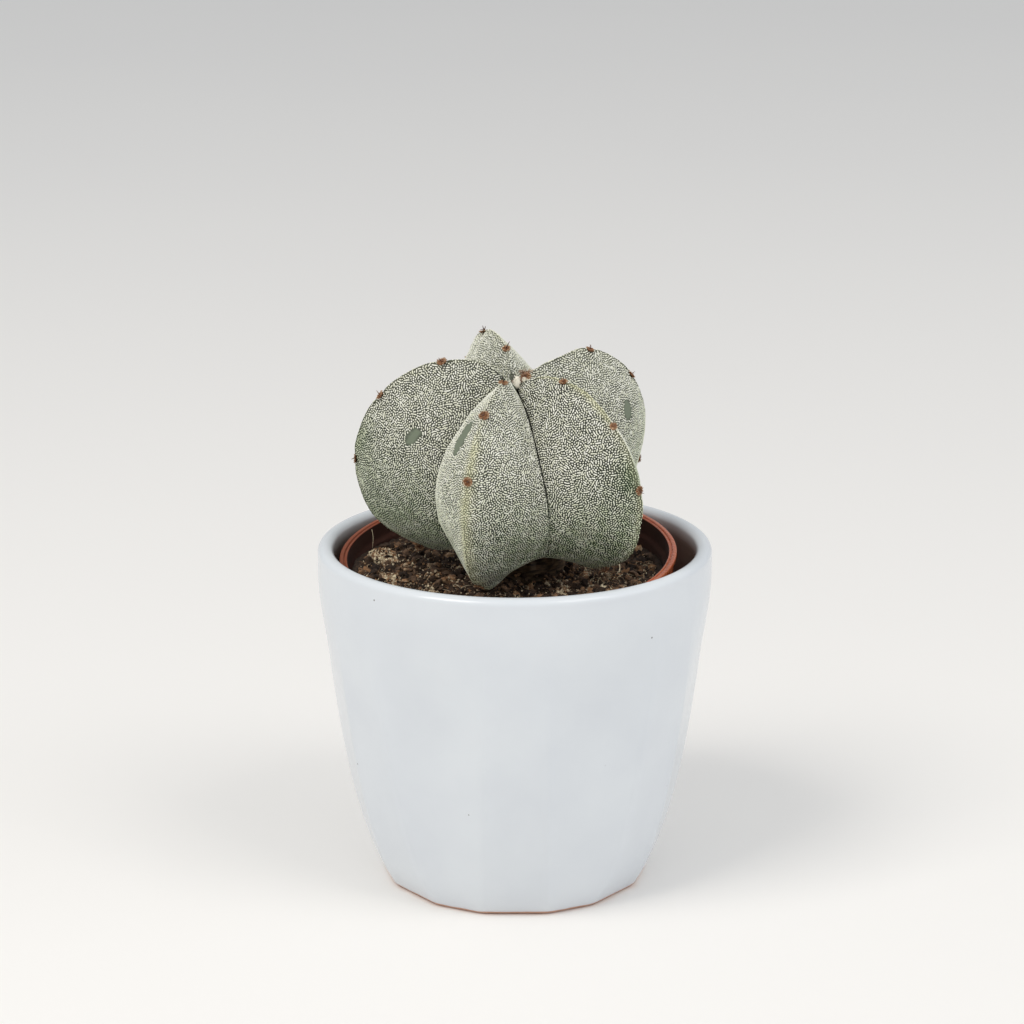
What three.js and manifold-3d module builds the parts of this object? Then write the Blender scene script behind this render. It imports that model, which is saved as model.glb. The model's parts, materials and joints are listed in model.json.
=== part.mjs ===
import * as THREE from 'three';
import { mergeVertices } from 'three/addons/utils/BufferGeometryUtils.js';
import Module from 'manifold-3d';

// Potted bishop's cap cactus: a five-ribbed plant in a thin plastic grower's pot of compost,
// which stands inside a glazed ceramic pot with flat facets.
// Millimetres, +Z up, origin under the middle of the ceramic pot, front towards -Y.
// Lines are lists of [radius, height], from the bottom up for the pots.

// Ceramic pot
const potHeight = 108.9;
const potCornerLine = [[41.6, 1.4], [46.7, 11.5], [52.8, 32], [58.2, 62], [61.3, 92], [61.6, 106.7]];
const potWall = 4.4;
const potInsideLine = [[56.6, 92], [53.4, 62], [48, 32], [43, 12], [38.5, 8]];
const footInnerRadius = 32;
const footOuterRadius = 40.4;
const footRecess = 2;
const facetPairs = 7;
const stripHalfWidth = 10.4;
const stripHalfWidthLoss = 0.9;
const stripDrift = 4;
const facetsFadeFrom = 99;
const facetsFadeTo = 106;
const stepsPerFacet = 3;

// Grower's pot, in its own frame: it leans forward and a little to the left, stands on the front
// edge of its base, and its lip nearly touches the ceramic pot's wall
const growerPlace = [0.67, 6.86, 11.69];
const growerLeanForward = 5.2;
const growerLeanLeft = 1.7;
const growerBottom = 0;
const growerBaseRadius = 36.6;
const growerBandBottom = 89;
const growerBandRadius = 51.6;
const growerLipRadius = 52.7;
const growerTop = 95;
const growerWall = 1.2;
const drainHoleRadius = 3.5;
const drainHoleRing = 25;
const drainHoleCount = 6;
const roundSides = 36;

// Compost, level although its pot leans: heights and middle are in the ceramic pot's frame
const gap = 0.3;
const soilMiddle = [-2.2, -1.9];
const soilRadius = 48;
const soilEdgeHeight = 100.9;
const soilMiddleHeight = 98.8;
const soilRings = 9;
const soilUnevenness = 0.8;
const crumbCount = 24;
const crumbRadius = [1.4, 3];

// Cactus, in its own frame: the growing point is at 0 and the stem's axis points up
const crownPlace = [2.1, -16.5, 164.6];
const leanForward = 15.3;
const leanLeft = 1.1;
const ribs = [
  { direction: -114.5, reach: 0.907, height: 1.03, areoles: [0.16, 0.33, 0.52, 0.73] },
  { direction: -40.6, reach: 0.983, height: 0.972, areoles: [0.18, 0.41, 0.585, 0.78] },
  { direction: 30.8, reach: 0.938, height: 0.93, areoles: [0.055, 0.18, 0.285, 0.487, 0.66, 0.82] },
  { direction: 112, reach: 1.03, height: 1.03, areoles: [0.13, 0.33, 0.52, 0.7, 0.85] },
  { direction: 173.5, reach: 1.11, height: 1.053, areoles: [0.24, 0.45, 0.625, 0.8] },
];
const crestLine = [
  [0, 0], [10.7, 5.6], [23, 5.5], [33.9, -0.5], [42.9, -11.2], [47.5, -28.1], [42.9, -47.3],
  [28.2, -58.2], [15, -55.5],
];
const grooveLine = [
  [0, 0], [6.5, -3.4], [14, -7.5], [22, -14.5], [28, -24.5], [30, -36.5], [26, -46.5],
  [20, -51.5], [14.5, -53.5],
];
const rootLine = [[13.2, -60.5], [12, -66], [11, -70], [8.6, -77], [5, -83], [0, -86]];
const bodySteps = 24;
const stepsPerFlank = 5;
const flankCurve = {
  top: { power: 0.92, roundness: 0.78 },
  bottom: { power: 0.9, roundness: 1.3 },
  from: 0.62,
  to: 0.9,
};
const areoleRadius = 1.8;
const crownFeltRadius = 3.1;
const spinesPerAreole = 3;
const spineLength = 3.6;
const spineRadius = 0.35;

// Colours
const glazeColour = 0xdadee1;
const terracottaPlastic = 0xb5613c;
const peatBrown = 0x3b2a20;
const fleckedGreen = 0x8f9a86;

const wasm = await Module();
wasm.setup();

// A closed geometry as a solid that can be joined and cut
function toSolid(geometry) {
  const bare = geometry.clone();
  bare.deleteAttribute('normal');
  bare.deleteAttribute('uv');
  const merged = mergeVertices(bare, 1e-4);
  const corners = merged.index.array;
  const kept = [];
  for (let i = 0; i < corners.length; i += 3) {
    const [a, b, c] = corners.slice(i, i + 3);
    if (a !== b && b !== c && c !== a) kept.push(a, b, c);
  }
  const vertProperties = merged.attributes.position.array;
  return new wasm.Manifold(new wasm.Mesh({ numProp: 3, vertProperties, triVerts: new Uint32Array(kept) }));
}

// A named mesh of a solid, in its own colour
function toMesh(name, solid, color, roughness) {
  const made = solid.getMesh();
  const geometry = new THREE.BufferGeometry();
  geometry.setAttribute('position', new THREE.BufferAttribute(new Float32Array(made.vertProperties), 3));
  geometry.setIndex(new THREE.BufferAttribute(new Uint32Array(made.triVerts), 1));
  geometry.computeVertexNormals();
  const mesh = new THREE.Mesh(geometry, new THREE.MeshStandardMaterial({ color, roughness, metalness: 0 }));
  mesh.name = name;
  return mesh;
}

// A line turned round the Z axis, then moved: place gets each point with its ring and its step round
function turned(line, sides, place = null) {
  const points = line.map(([radius, height]) => new THREE.Vector2(radius, height));
  const geometry = new THREE.LatheGeometry(points, sides).rotateX(Math.PI / 2);
  if (!place) return geometry;
  const position = geometry.attributes.position;
  const point = new THREE.Vector3();
  for (let i = 0; i < position.count; i += 1) {
    point.fromBufferAttribute(position, i);
    place(point, i % line.length, Math.floor(i / line.length) % sides);
    position.setXYZ(i, point.x, point.y, point.z);
  }
  return geometry;
}

// A smooth curve through the points of a line
function smooth(line) {
  return new THREE.SplineCurve(line.map(([radius, height]) => new THREE.Vector2(radius, height)));
}

// Evenly numbered points on that curve, as a line
function smoothLine(line, steps) {
  return smooth(line).getPoints(steps).map((point) => [point.x, point.y]);
}

// Seeded draw of numbers from 0 to 1
function seededDraw(seed) {
  let state = seed;
  return () => {
    state = (state * 1664525 + 1013904223) % 4294967296;
    return state / 4294967296;
  };
}

// Angle of a facet edge from the front: strips of even width, with tapering panels between them
function facetEdgeAngle(edge, radius, height) {
  const upward = height / potHeight;
  const middle = (2 * Math.PI * Math.floor((edge + 1) / 2)) / facetPairs;
  const drift = THREE.MathUtils.degToRad(stripDrift) * upward * Math.sin(middle);
  const halfAngle = Math.asin((stripHalfWidth - stripHalfWidthLoss * upward) / radius);
  return middle + drift + (edge % 2 === 0 ? halfAngle : -halfAngle);
}

// Outer pot: 14 flat facets outside, a round rolled rim, round inside, a foot ring below
function ceramicPot() {
  const [rimRadius, rimStart] = potCornerLine[potCornerLine.length - 1];
  const line = [[0, footRecess], [footInnerRadius - 1.5, footRecess], [footInnerRadius, 0]];
  const firstFaceted = line.length;
  line.push([footOuterRadius, 0], ...smoothLine(potCornerLine, 8));
  const lastFaceted = line.length - 1;
  for (const degrees of [45, 90, 135, 180]) {
    const turn = THREE.MathUtils.degToRad(degrees);
    const radius = rimRadius - (potWall / 2) * (1 - Math.cos(turn));
    line.push([radius, rimStart + (potHeight - rimStart) * Math.sin(turn)]);
  }
  line.push(...potInsideLine, [0, potInsideLine[potInsideLine.length - 1][1]]);
  const shape = turned(line, facetPairs * 2 * stepsPerFacet, (point, ring, step) => {
    const radius = Math.hypot(point.x, point.y);
    const facet = Math.floor(step / stepsPerFacet);
    const from = facetEdgeAngle(facet, Math.max(radius, footOuterRadius), point.z);
    const to = facetEdgeAngle(facet + 1, Math.max(radius, footOuterRadius), point.z);
    const angle = THREE.MathUtils.lerp(from, to, step / stepsPerFacet - facet);
    const flat = Math.cos((to - from) / 2) / Math.cos(angle - (from + to) / 2);
    const faceted = ring >= firstFaceted && ring <= lastFaceted;
    const roundness = faceted ? THREE.MathUtils.smoothstep(point.z, facetsFadeFrom, facetsFadeTo) : 1;
    const reach = radius * THREE.MathUtils.lerp(flat, 1, roundness);
    point.x = reach * Math.sin(angle);
    point.y = -reach * Math.cos(angle);
  });
  return toMesh('ceramic_pot', toSolid(shape), glazeColour, 0.22);
}

// Inside radius of the grower's pot below its band
function growerInside(height) {
  const share = (height - growerBottom) / (growerBandBottom - growerBottom);
  return THREE.MathUtils.lerp(growerBaseRadius, growerBandRadius - 1.6, share) - growerWall;
}

// Inner pot: thin moulded plastic with a band and a rolled lip, and drain holes in its base
function growerPot() {
  const baseTop = growerBottom + growerWall;
  const bandInside = growerBandRadius - growerWall;
  const line = [
    [0, growerBottom],
    [growerBaseRadius - 1, growerBottom],
    [growerInside(baseTop) + growerWall, baseTop],
    [growerInside(growerBandBottom) + growerWall, growerBandBottom - 0.8],
    [growerBandRadius, growerBandBottom],
    [growerBandRadius, growerTop - 1.8],
    [growerLipRadius, growerTop - 1.3],
    [growerLipRadius, growerTop - 0.4],
    [growerLipRadius - 0.6, growerTop],
    [bandInside + 0.5, growerTop],
    [bandInside, growerTop - 0.5],
    [bandInside - 0.2, growerBandBottom + 0.9],
    [growerInside(growerBandBottom), growerBandBottom + 0.1],
    [growerInside(baseTop), baseTop],
    [0, baseTop],
  ];
  let solid = toSolid(turned(line, roundSides));
  for (let i = 0; i < drainHoleCount; i += 1) {
    const turn = (2 * Math.PI * i) / drainHoleCount;
    const hole = new THREE.CylinderGeometry(drainHoleRadius, drainHoleRadius, 4 * growerWall, 10);
    hole.rotateX(Math.PI / 2);
    hole.translate(drainHoleRing * Math.cos(turn), drainHoleRing * Math.sin(turn), baseTop);
    solid = solid.subtract(toSolid(hole));
  }
  return toMesh('grower_pot', solid, terracottaPlastic, 0.4);
}

// Height of the compost, x and y from its middle: lower there, uneven all over, smooth at the wall
function soilHeight(x, y) {
  const out = Math.min(1, Math.hypot(x, y) / soilRadius);
  const level = THREE.MathUtils.lerp(soilMiddleHeight, soilEdgeHeight, out ** 3);
  const broad = Math.sin(x * 0.61 + y * 0.23) * Math.sin(y * 0.57 - x * 0.19);
  const fine = Math.sin(x * 1.3 + 2) * Math.sin(y * 1.1);
  return level + soilUnevenness * (broad + fine) * (1 - out ** 6);
}

// Sets a point's height in the leaning pot's frame so that it lies on the compost's top
function setOnSoil(point, leaning) {
  const { x, y } = point.clone().applyMatrix4(leaning);
  const [, , xRise, , , , yRise, , , , zRise, , , , lift] = leaning.elements;
  const height = soilHeight(x - soilMiddle[0], y - soilMiddle[1]);
  point.z = (height - lift - xRise * point.x - yRise * point.y) / zRise;
}

// Compost: fills the grower's pot, with crumbs on top and a plain hole for the root
function compost(rootHole, leaning) {
  const bottom = growerBottom + growerWall + gap;
  const line = [[0, bottom], [growerInside(bottom) - gap, bottom]];
  for (let ring = 0; ring <= soilRings; ring += 1) line.push([1 - ring / soilRings, growerBandBottom]);
  const shape = turned(line, roundSides, (point, ring) => {
    if (ring < 2) return;
    const atWall = new THREE.Vector3(point.x, point.y, 0).setLength(soilRadius);
    setOnSoil(atWall, leaning);
    const reach = growerInside(atWall.z) - gap;
    point.set(point.x * reach, point.y * reach, point.z);
    setOnSoil(point, leaning);
  });
  let solid = toSolid(shape);
  const draw = seededDraw(11);
  for (let i = 0; i < crumbCount; i += 1) {
    const out = THREE.MathUtils.lerp(27, 44, Math.sqrt(draw()));
    const turn = 2 * Math.PI * draw();
    const radius = THREE.MathUtils.lerp(...crumbRadius, draw() ** 2);
    const crumb = new THREE.IcosahedronGeometry(radius, 0).rotateX(6 * draw()).rotateY(6 * draw());
    const seat = new THREE.Vector3(out * Math.cos(turn), out * Math.sin(turn), growerBandBottom);
    setOnSoil(seat, leaning);
    solid = solid.add(toSolid(crumb.translate(seat.x, seat.y, seat.z - 0.1 * radius)));
  }
  rootHole.applyMatrix4(leaning.clone().invert());
  return toMesh('compost', solid.subtract(toSolid(rootHole)), peatBrown, 0.95);
}

// How far a flank stands out of the groove: 1 on the crest, 0 in the groove
function flankShare(across, along) {
  const low = THREE.MathUtils.smoothstep(along, flankCurve.from, flankCurve.to);
  const power = THREE.MathUtils.lerp(flankCurve.top.power, flankCurve.bottom.power, low);
  const roundness = THREE.MathUtils.lerp(flankCurve.top.roundness, flankCurve.bottom.roundness, low);
  return (1 - across ** power) ** roundness;
}

// A point of the ribbed body: along runs from the growing point to the neck, step runs round
function bodyPoint(along, step) {
  const stepsPerRib = 2 * stepsPerFlank;
  const near = Math.floor(step / stepsPerRib);
  const within = step % stepsPerRib;
  const [before, after] = [ribs[near], ribs[(near + 1) % ribs.length]];
  const rib = within <= stepsPerFlank ? before : after;
  const across = Math.min(within, stepsPerRib - within) / stepsPerFlank;
  const turn = (after.direction - before.direction + 360) % 360;
  const angle = THREE.MathUtils.degToRad(before.direction + (turn * within) / stepsPerRib);
  const crest = smooth(crestLine).getPoint(along).multiply(new THREE.Vector2(rib.reach, rib.height));
  const grooveReach = 1 + 0.3 * (before.reach + after.reach - 2);
  const grooveHeight = (before.height + after.height) / 2;
  const groove = smooth(grooveLine).getPoint(along).multiply(new THREE.Vector2(grooveReach, grooveHeight));
  const place = groove.lerp(crest, flankShare(across, along));
  return new THREE.Vector3(place.x * Math.cos(angle), place.x * Math.sin(angle), place.y);
}

// A woolly cushion on the crest with a few short spines, sunk into the rib
function areole(rib, along, draw) {
  const angle = THREE.MathUtils.degToRad(rib.direction);
  const crest = smooth(crestLine);
  const place = crest.getPoint(along).multiply(new THREE.Vector2(rib.reach, rib.height));
  const tangent = crest.getTangent(along).multiply(new THREE.Vector2(rib.reach, rib.height)).normalize();
  const outward = new THREE.Vector3(-tangent.y * Math.cos(angle), -tangent.y * Math.sin(angle), tangent.x);
  const seat = new THREE.Vector3(place.x * Math.cos(angle), place.x * Math.sin(angle), place.y);
  seat.addScaledVector(outward, -0.5 * areoleRadius);
  let solid = toSolid(new THREE.IcosahedronGeometry(areoleRadius, 0).translate(...seat));
  for (let i = 0; i < spinesPerAreole; i += 1) {
    const lean = new THREE.Vector3(draw() - 0.5, draw() - 0.5, draw() - 0.5).multiplyScalar(1.6);
    const aim = outward.clone().add(lean).normalize();
    const spine = new THREE.ConeGeometry(spineRadius, spineLength, 3).translate(0, spineLength / 2, 0);
    spine.applyQuaternion(new THREE.Quaternion().setFromUnitVectors(new THREE.Vector3(0, 1, 0), aim));
    solid = solid.add(toSolid(spine.translate(...seat)));
  }
  return solid;
}

// Cactus: ribbed body, corky neck and root in one piece, with felt on the crown and the areoles
function cactus() {
  const line = [...rootLine].reverse().concat(smoothLine(crestLine, bodySteps).reverse());
  const shape = turned(line, 2 * stepsPerFlank * ribs.length, (point, ring, step) => {
    const bodyRing = ring - rootLine.length;
    if (bodyRing >= 0) {
      point.copy(bodyPoint(1 - bodyRing / bodySteps, step));
    } else {
      const radius = Math.hypot(point.x, point.y);
      const rim = bodyPoint(1, step);
      const angle = Math.atan2(rim.y, rim.x);
      point.set(radius * Math.cos(angle), radius * Math.sin(angle), point.z);
    }
  });
  let solid = toSolid(shape);
  const felt = new THREE.IcosahedronGeometry(crownFeltRadius, 1).scale(1, 1, 0.6);
  solid = solid.add(toSolid(felt.translate(0, 0, 0.2)));
  const draw = seededDraw(5);
  for (const rib of ribs) {
    for (const along of rib.areoles) solid = solid.add(areole(rib, along, draw));
  }
  return toMesh('cactus', solid, fleckedGreen, 0.85);
}

const plant = new THREE.Group();
plant.position.set(...crownPlace);
plant.rotation.set(THREE.MathUtils.degToRad(leanForward), -THREE.MathUtils.degToRad(leanLeft), 0);
plant.updateMatrixWorld();
plant.add(cactus());

// The root's outline with a gap all round, in the pot's frame
const holeLine = [...rootLine].reverse().map(([radius, height]) => [radius > 0 ? radius + gap : 0, height]);
holeLine[0][1] -= gap;
holeLine.push([0, rootLine[0][1]]);
const rootHole = turned(holeLine, roundSides).applyMatrix4(plant.matrixWorld);

const leaningPot = new THREE.Group();
leaningPot.position.set(...growerPlace);
leaningPot.rotation.set(THREE.MathUtils.degToRad(growerLeanForward), -THREE.MathUtils.degToRad(growerLeanLeft), 0);
leaningPot.updateMatrixWorld();
leaningPot.add(growerPot(), compost(rootHole, leaningPot.matrixWorld));

const pottedCactus = new THREE.Group();
pottedCactus.add(ceramicPot(), leaningPot, plant);

export default pottedCactus;
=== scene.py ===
import json
import math
import random

import bpy
import numpy as np
from mathutils import Matrix, Vector, noise
from mathutils.kdtree import KDTree

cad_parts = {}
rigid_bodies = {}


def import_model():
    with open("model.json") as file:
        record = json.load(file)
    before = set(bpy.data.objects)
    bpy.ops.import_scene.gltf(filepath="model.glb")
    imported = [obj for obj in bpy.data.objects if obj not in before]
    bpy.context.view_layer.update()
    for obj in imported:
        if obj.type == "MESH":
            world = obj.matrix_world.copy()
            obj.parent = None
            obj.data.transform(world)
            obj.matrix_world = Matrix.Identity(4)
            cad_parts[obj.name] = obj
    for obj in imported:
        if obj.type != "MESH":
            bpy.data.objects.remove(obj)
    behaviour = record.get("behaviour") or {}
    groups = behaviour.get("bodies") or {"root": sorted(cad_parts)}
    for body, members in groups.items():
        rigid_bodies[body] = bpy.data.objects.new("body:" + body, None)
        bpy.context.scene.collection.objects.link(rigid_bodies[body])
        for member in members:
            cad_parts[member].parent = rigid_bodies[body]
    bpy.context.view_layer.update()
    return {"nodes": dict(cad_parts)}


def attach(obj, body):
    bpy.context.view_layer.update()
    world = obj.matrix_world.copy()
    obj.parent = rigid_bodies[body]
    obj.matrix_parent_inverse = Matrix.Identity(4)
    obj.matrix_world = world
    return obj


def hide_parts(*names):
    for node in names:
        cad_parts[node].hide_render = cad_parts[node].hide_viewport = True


# A potted bishop's cap cactus. Sizes are in millimetres until addPiece() turns them to metres.
# +Z is up and the front is towards -Y. Lines are lists of (radius, height).

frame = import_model()
print("frame loaded:", sorted(frame["nodes"]))


# Small helpers

def fromHex(code):
    # the linear colour that a shader takes, from an sRGB hex code
    parts = [int(code[i:i + 2], 16) / 255 for i in (1, 3, 5)]
    return (*[p / 12.92 if p <= 0.04045 else ((p + 0.055) / 1.055) ** 2.4 for p in parts], 1)


def addNode(tree, kind, inputs=None, stops=(), **settings):
    # a node with its settings; inputs holds values, or outputs of other nodes to link, and
    # stops are the places and hex codes of a colour ramp
    node = tree.nodes.new(kind)
    for i, (place, code) in enumerate(stops):
        stop = node.color_ramp.elements[i] if i < 2 else node.color_ramp.elements.new(place)
        stop.position = place
        stop.color = fromHex(code)
    for name, value in settings.items():
        setattr(node, name, value)
    for socket, value in (inputs or {}).items():
        if isinstance(value, bpy.types.NodeSocket):
            tree.links.new(value, node.inputs[socket])
        else:
            node.inputs[socket].default_value = value
    return node


def startMaterial(name, **values):
    # a material with its Principled shader, whose plain sockets are set here by name
    material = bpy.data.materials.new(name)
    material.use_nodes = True
    tree = material.node_tree
    shader = tree.nodes["Principled BSDF"]
    for socket, value in values.items():
        shader.inputs[socket.replace("_", " ")].default_value = value
    return material, tree, shader


def addObject(name, data):
    thing = bpy.data.objects.new(name, data)
    bpy.context.scene.collection.objects.link(thing)
    return thing


def addPiece(name, points, faces, material, node=None, marks=None, smooth=True):
    # a mesh piece of the object; marks are numbers on its points, which materials read
    mesh = bpy.data.meshes.new(name)
    mesh.from_pydata((np.asarray(points, float) / 1000).tolist(), [], faces)
    for label, values in (marks or {}).items():
        mark = mesh.attributes.new(label, "FLOAT", "POINT")
        mark.data.foreach_set("value", np.asarray(values, np.float32))
    if smooth:
        mesh.shade_smooth()
    mesh.materials.append(material)
    mesh.update()
    piece = addObject(name, mesh)
    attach(piece, "root")
    if node:
        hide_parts(node)
    return piece


def smoothCurve(line, share):
    # points at these shares of the curve through a line
    line = np.asarray(line, float)
    last = len(line) - 1
    place = np.clip(np.asarray(share, float), 0, 1) * last
    start = np.minimum(place.astype(int), last - 1)
    w = (place - start)[..., None]
    before, here, there, after = (line[np.clip(start + k, 0, last)] for k in (-1, 0, 1, 2))
    leave, reach = (there - before) / 2, (after - here) / 2
    bend = (2 * here - 2 * there + leave + reach) * w ** 3
    return bend + (3 * there - 3 * here - 2 * leave - reach) * w ** 2 + leave * w + here


def leanOf(thing):
    # the turn of something that leans forward and to the left
    forward = Matrix.Rotation(math.radians(thing["leanForward"]), 3, "X")
    return np.array(forward @ Matrix.Rotation(-math.radians(thing["leanLeft"]), 3, "Y"))


def between(start, end, share):
    return start + (end - start) * share


def smoothStep(value, low, high):
    # 0 below low, 1 above high, with a soft start and end
    share = np.clip((value - low) / (high - low), 0, 1)
    return share * share * (3 - 2 * share)


def roundCorners(line, radius, steps=5):
    # the line with every inner corner turned into a small arc
    line = [np.array(p, float) for p in line]
    made = [line[0]]
    for a, p, b in zip(line, line[1:], line[2:]):
        start = p + (a - p) * min(0.5, radius / np.linalg.norm(a - p))
        end = p + (b - p) * min(0.5, radius / np.linalg.norm(b - p))
        for s in np.linspace(0, 1, steps):
            made.append((1 - s) ** 2 * start + 2 * s * (1 - s) * p + s * s * end)
    return np.array(made + [line[-1]])


def evenTurns(count):
    return 2 * np.pi * np.arange(count) / count


def ringAt(x, y, height):
    # a ring of points at one height
    return np.column_stack([x, y, np.full(len(x), height)])


def ringFaces(rows, columns):
    # quads between rings of points, each ring closed on itself, facing out when rows run upwards
    faces = []
    for r in range(rows - 1):
        low, high = r * columns, (r + 1) * columns
        for c in range(columns):
            d = (c + 1) % columns
            faces.append((low + c, low + d, high + d, high + c))
    return faces


def closedStack(rings, bottom, top):
    # rings of points as one closed surface, with a fan of triangles round a middle point at each end
    rows, columns = len(rings), len(rings[0])
    faces = ringFaces(rows, columns)
    last = (rows - 1) * columns
    middle = rows * columns
    for c in range(columns):
        d = (c + 1) % columns
        faces.append((middle, d, c))
        faces.append((middle + 1, last + c, last + d))
    return np.vstack([*rings, bottom, top]), faces


def joined(shapes):
    # several shapes of (points, faces, tone) as one, with a tone on every point
    points, faces, tones, start = [], [], [], 0
    for somePoints, someFaces, tone in shapes:
        points.append(somePoints)
        faces += [tuple(start + c for c in face) for face in someFaces]
        tones += [tone] * len(somePoints)
        start += len(somePoints)
    return np.vstack(points), faces, {"tone": tones}


def strand(line, thick, thin, sides=3):
    # a tapering hair, fibre or spine along a line of points, closed at both ends
    line = [Vector(p) for p in line]
    points = []
    for i, p in enumerate(line):
        ahead = (line[min(i + 1, len(line) - 1)] - line[max(i - 1, 0)]).normalized()
        side = ahead.orthogonal().normalized()
        other = ahead.cross(side)
        radius = thick + (thin - thick) * i / (len(line) - 1)
        for k in range(sides):
            turn = 2 * math.pi * k / sides
            points.append(p + radius * (math.cos(turn) * side + math.sin(turn) * other))
    ends = [tuple(reversed(range(sides))), tuple(range(len(points) - sides, len(points)))]
    return np.array([tuple(p) for p in points]), ringFaces(len(line), sides) + ends


def tinted(tree, colour, tints):
    # the colour with each tint mixed in, by the mark on the mesh that has the tint's name
    for mark, tint in tints.items():
        share = addNode(tree, "ShaderNodeAttribute", attribute_name=mark)
        layer = addNode(tree, "ShaderNodeMix", {
            0: share.outputs["Fac"], 6: colour, 7: tint,
        }, data_type="RGBA")
        colour = layer.outputs[2]
    return colour


def tonedColour(tree, speckle, gain, offset, stops):
    # a colour from a ramp, by the tone on the mesh and gain times the speckle, less offset
    tone = addNode(tree, "ShaderNodeAttribute", attribute_name="tone")
    share = addNode(tree, "ShaderNodeMath", {
        0: speckle.outputs["Fac"], 1: gain, 2: tone.outputs["Fac"],
    }, operation="MULTIPLY_ADD")
    shifted = addNode(tree, "ShaderNodeMath", {
        0: share.outputs[0], 1: offset,
    }, operation="SUBTRACT", use_clamp=True)
    return addNode(tree, "ShaderNodeValToRGB", {0: shifted.outputs[0]}, stops=stops).outputs[0]


# Camera: a short telephoto a metre away, looking down a little

cameraView = {"place": (-0.00088, -0.96069, 0.39043), "lookDown": 15.801, "lens": 112.5, "sensor": 36}


def placeCamera():
    data = bpy.data.cameras.new("camera")
    data.lens = cameraView["lens"]
    data.sensor_width = cameraView["sensor"]
    data.clip_start, data.clip_end = 0.05, 30
    camera = addObject("camera", data)
    camera.location = cameraView["place"]
    camera.rotation_euler = (math.radians(90 - cameraView["lookDown"]), 0, 0)
    bpy.context.scene.camera = camera


# Studio: white floor, a softbox above on each side, a weak one on the right, pale room light

studio = {
    "floorColour": "#f4f2ef",
    "floorCloud": "#f1efed",
    "floorSize": 14,
    "room": {"colour": "#eef1f4", "strength": 0.66},
    "lamps": [
        {"name": "left", "at": (-0.95, -0.85, 1.6), "size": 0.9, "watts": 17, "colour": "#fffaf2"},
        {"name": "right", "at": (0.95, -0.85, 1.6), "size": 0.9, "watts": 8, "colour": "#fffaf2"},
        {"name": "side", "at": (1.5, -0.5, 0.9), "size": 1.1, "watts": 3, "colour": "#f4f8ff"},
    ],
    "aim": (0, 0, 0.09),
}


def matteFloor():
    # painted board: no shine, with a faint unevenness in its white
    material, tree, shader = startMaterial("mattePaintedBoard", Roughness=0.9)
    place = addNode(tree, "ShaderNodeTexCoord")
    cloud = addNode(tree, "ShaderNodeTexNoise", {
        "Vector": place.outputs["Object"], "Scale": 2.0, "Detail": 2.0,
    })
    tint = addNode(tree, "ShaderNodeMix", {
        0: cloud.outputs["Fac"], 6: fromHex(studio["floorColour"]), 7: fromHex(studio["floorCloud"]),
    }, data_type="RGBA")
    tree.links.new(tint.outputs[2], shader.inputs["Base Color"])
    return material


def buildStudio():
    half = studio["floorSize"] / 2
    mesh = bpy.data.meshes.new("floor")
    corners = [(-half, -half, 0), (half, -half, 0), (half, half, 0), (-half, half, 0)]
    mesh.from_pydata(corners, [], [(0, 1, 2, 3)])
    mesh.materials.append(matteFloor())
    floor = addObject("floor", mesh)
    for lamp in studio["lamps"]:
        data = bpy.data.lights.new(lamp["name"], "AREA")
        data.shape = "SQUARE"
        data.size = lamp["size"]
        data.energy = lamp["watts"]
        data.color = fromHex(lamp["colour"])[:3]
        softbox = addObject(lamp["name"], data)
        softbox.location = lamp["at"]
        aim = Vector(studio["aim"]) - Vector(lamp["at"])
        softbox.rotation_euler = aim.to_track_quat("-Z", "Y").to_euler()
    world = bpy.data.worlds.new("room")
    world.use_nodes = True
    sky = world.node_tree.nodes["Background"]
    sky.inputs["Color"].default_value = fromHex(studio["room"]["colour"])
    sky.inputs["Strength"].default_value = studio["room"]["strength"]
    bpy.context.scene.world = world
    bpy.context.scene.view_settings.view_transform = "Standard"


# Outer pot: slip-cast stoneware with 14 flat facets, a round rolled rim and a bare foot ring

stonewarePot = {
    "height": 108.9,
    "cornerLine": [(41.6, 1.4), (46.7, 11.5), (52.8, 32), (58.2, 62), (61.3, 92), (61.6, 106.7)],
    "insideLine": [(56.7, 106.7), (56.3, 92), (53.4, 62), (48, 32), (43, 12), (38.5, 8)],
    "floorLine": [(36, 7.9), (20, 7.8)],
    "underLine": [(20, 2), (30.5, 2), (32.2, 0), (35, 0)],
    "footFlatFrom": 38,
    "footOuter": 40.4,
    "wall": 4.9,
    "facetPairs": 7,
    "stripHalfWidth": 10.4,
    "stripHalfWidthLoss": 0.9,
    "stripDrift": 4,
    "facetsFade": (55, 100),
    "edgeSoftness": 0.3,
    "glazeStartsAt": 1.1,
    "stepsPerFacet": 14,
    "glazeColour": "#dbe0e5",
    "poolColour": "#d6dbe1",
    # painted shade inside the pot: its colour, from where to where below the rim it darkens, and how dark it
    # gets
    "insideShadeColour": "#7a6a5f",
    "insideShadeStarts": (1.5, 6.0),  # mm below the rim
    "mostInsideShade": 0.95,
    "speckColour": "#6d6a66",
    "clayColour": "#cfa893",
    "grogColour": "#b98f7b",
}


def facetEdgeAngle(edge, radius, height):
    # strips of even width, with tapering panels between them; 0 is the front
    pot = stonewarePot
    upward = height / pot["height"]
    middle = 2 * np.pi * ((edge + 1) // 2) / pot["facetPairs"]
    drift = np.radians(pot["stripDrift"]) * upward * np.sin(middle)
    half = np.arcsin((pot["stripHalfWidth"] - pot["stripHalfWidthLoss"] * upward) / radius)
    return middle + drift + (half if edge % 2 == 0 else -half)


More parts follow.
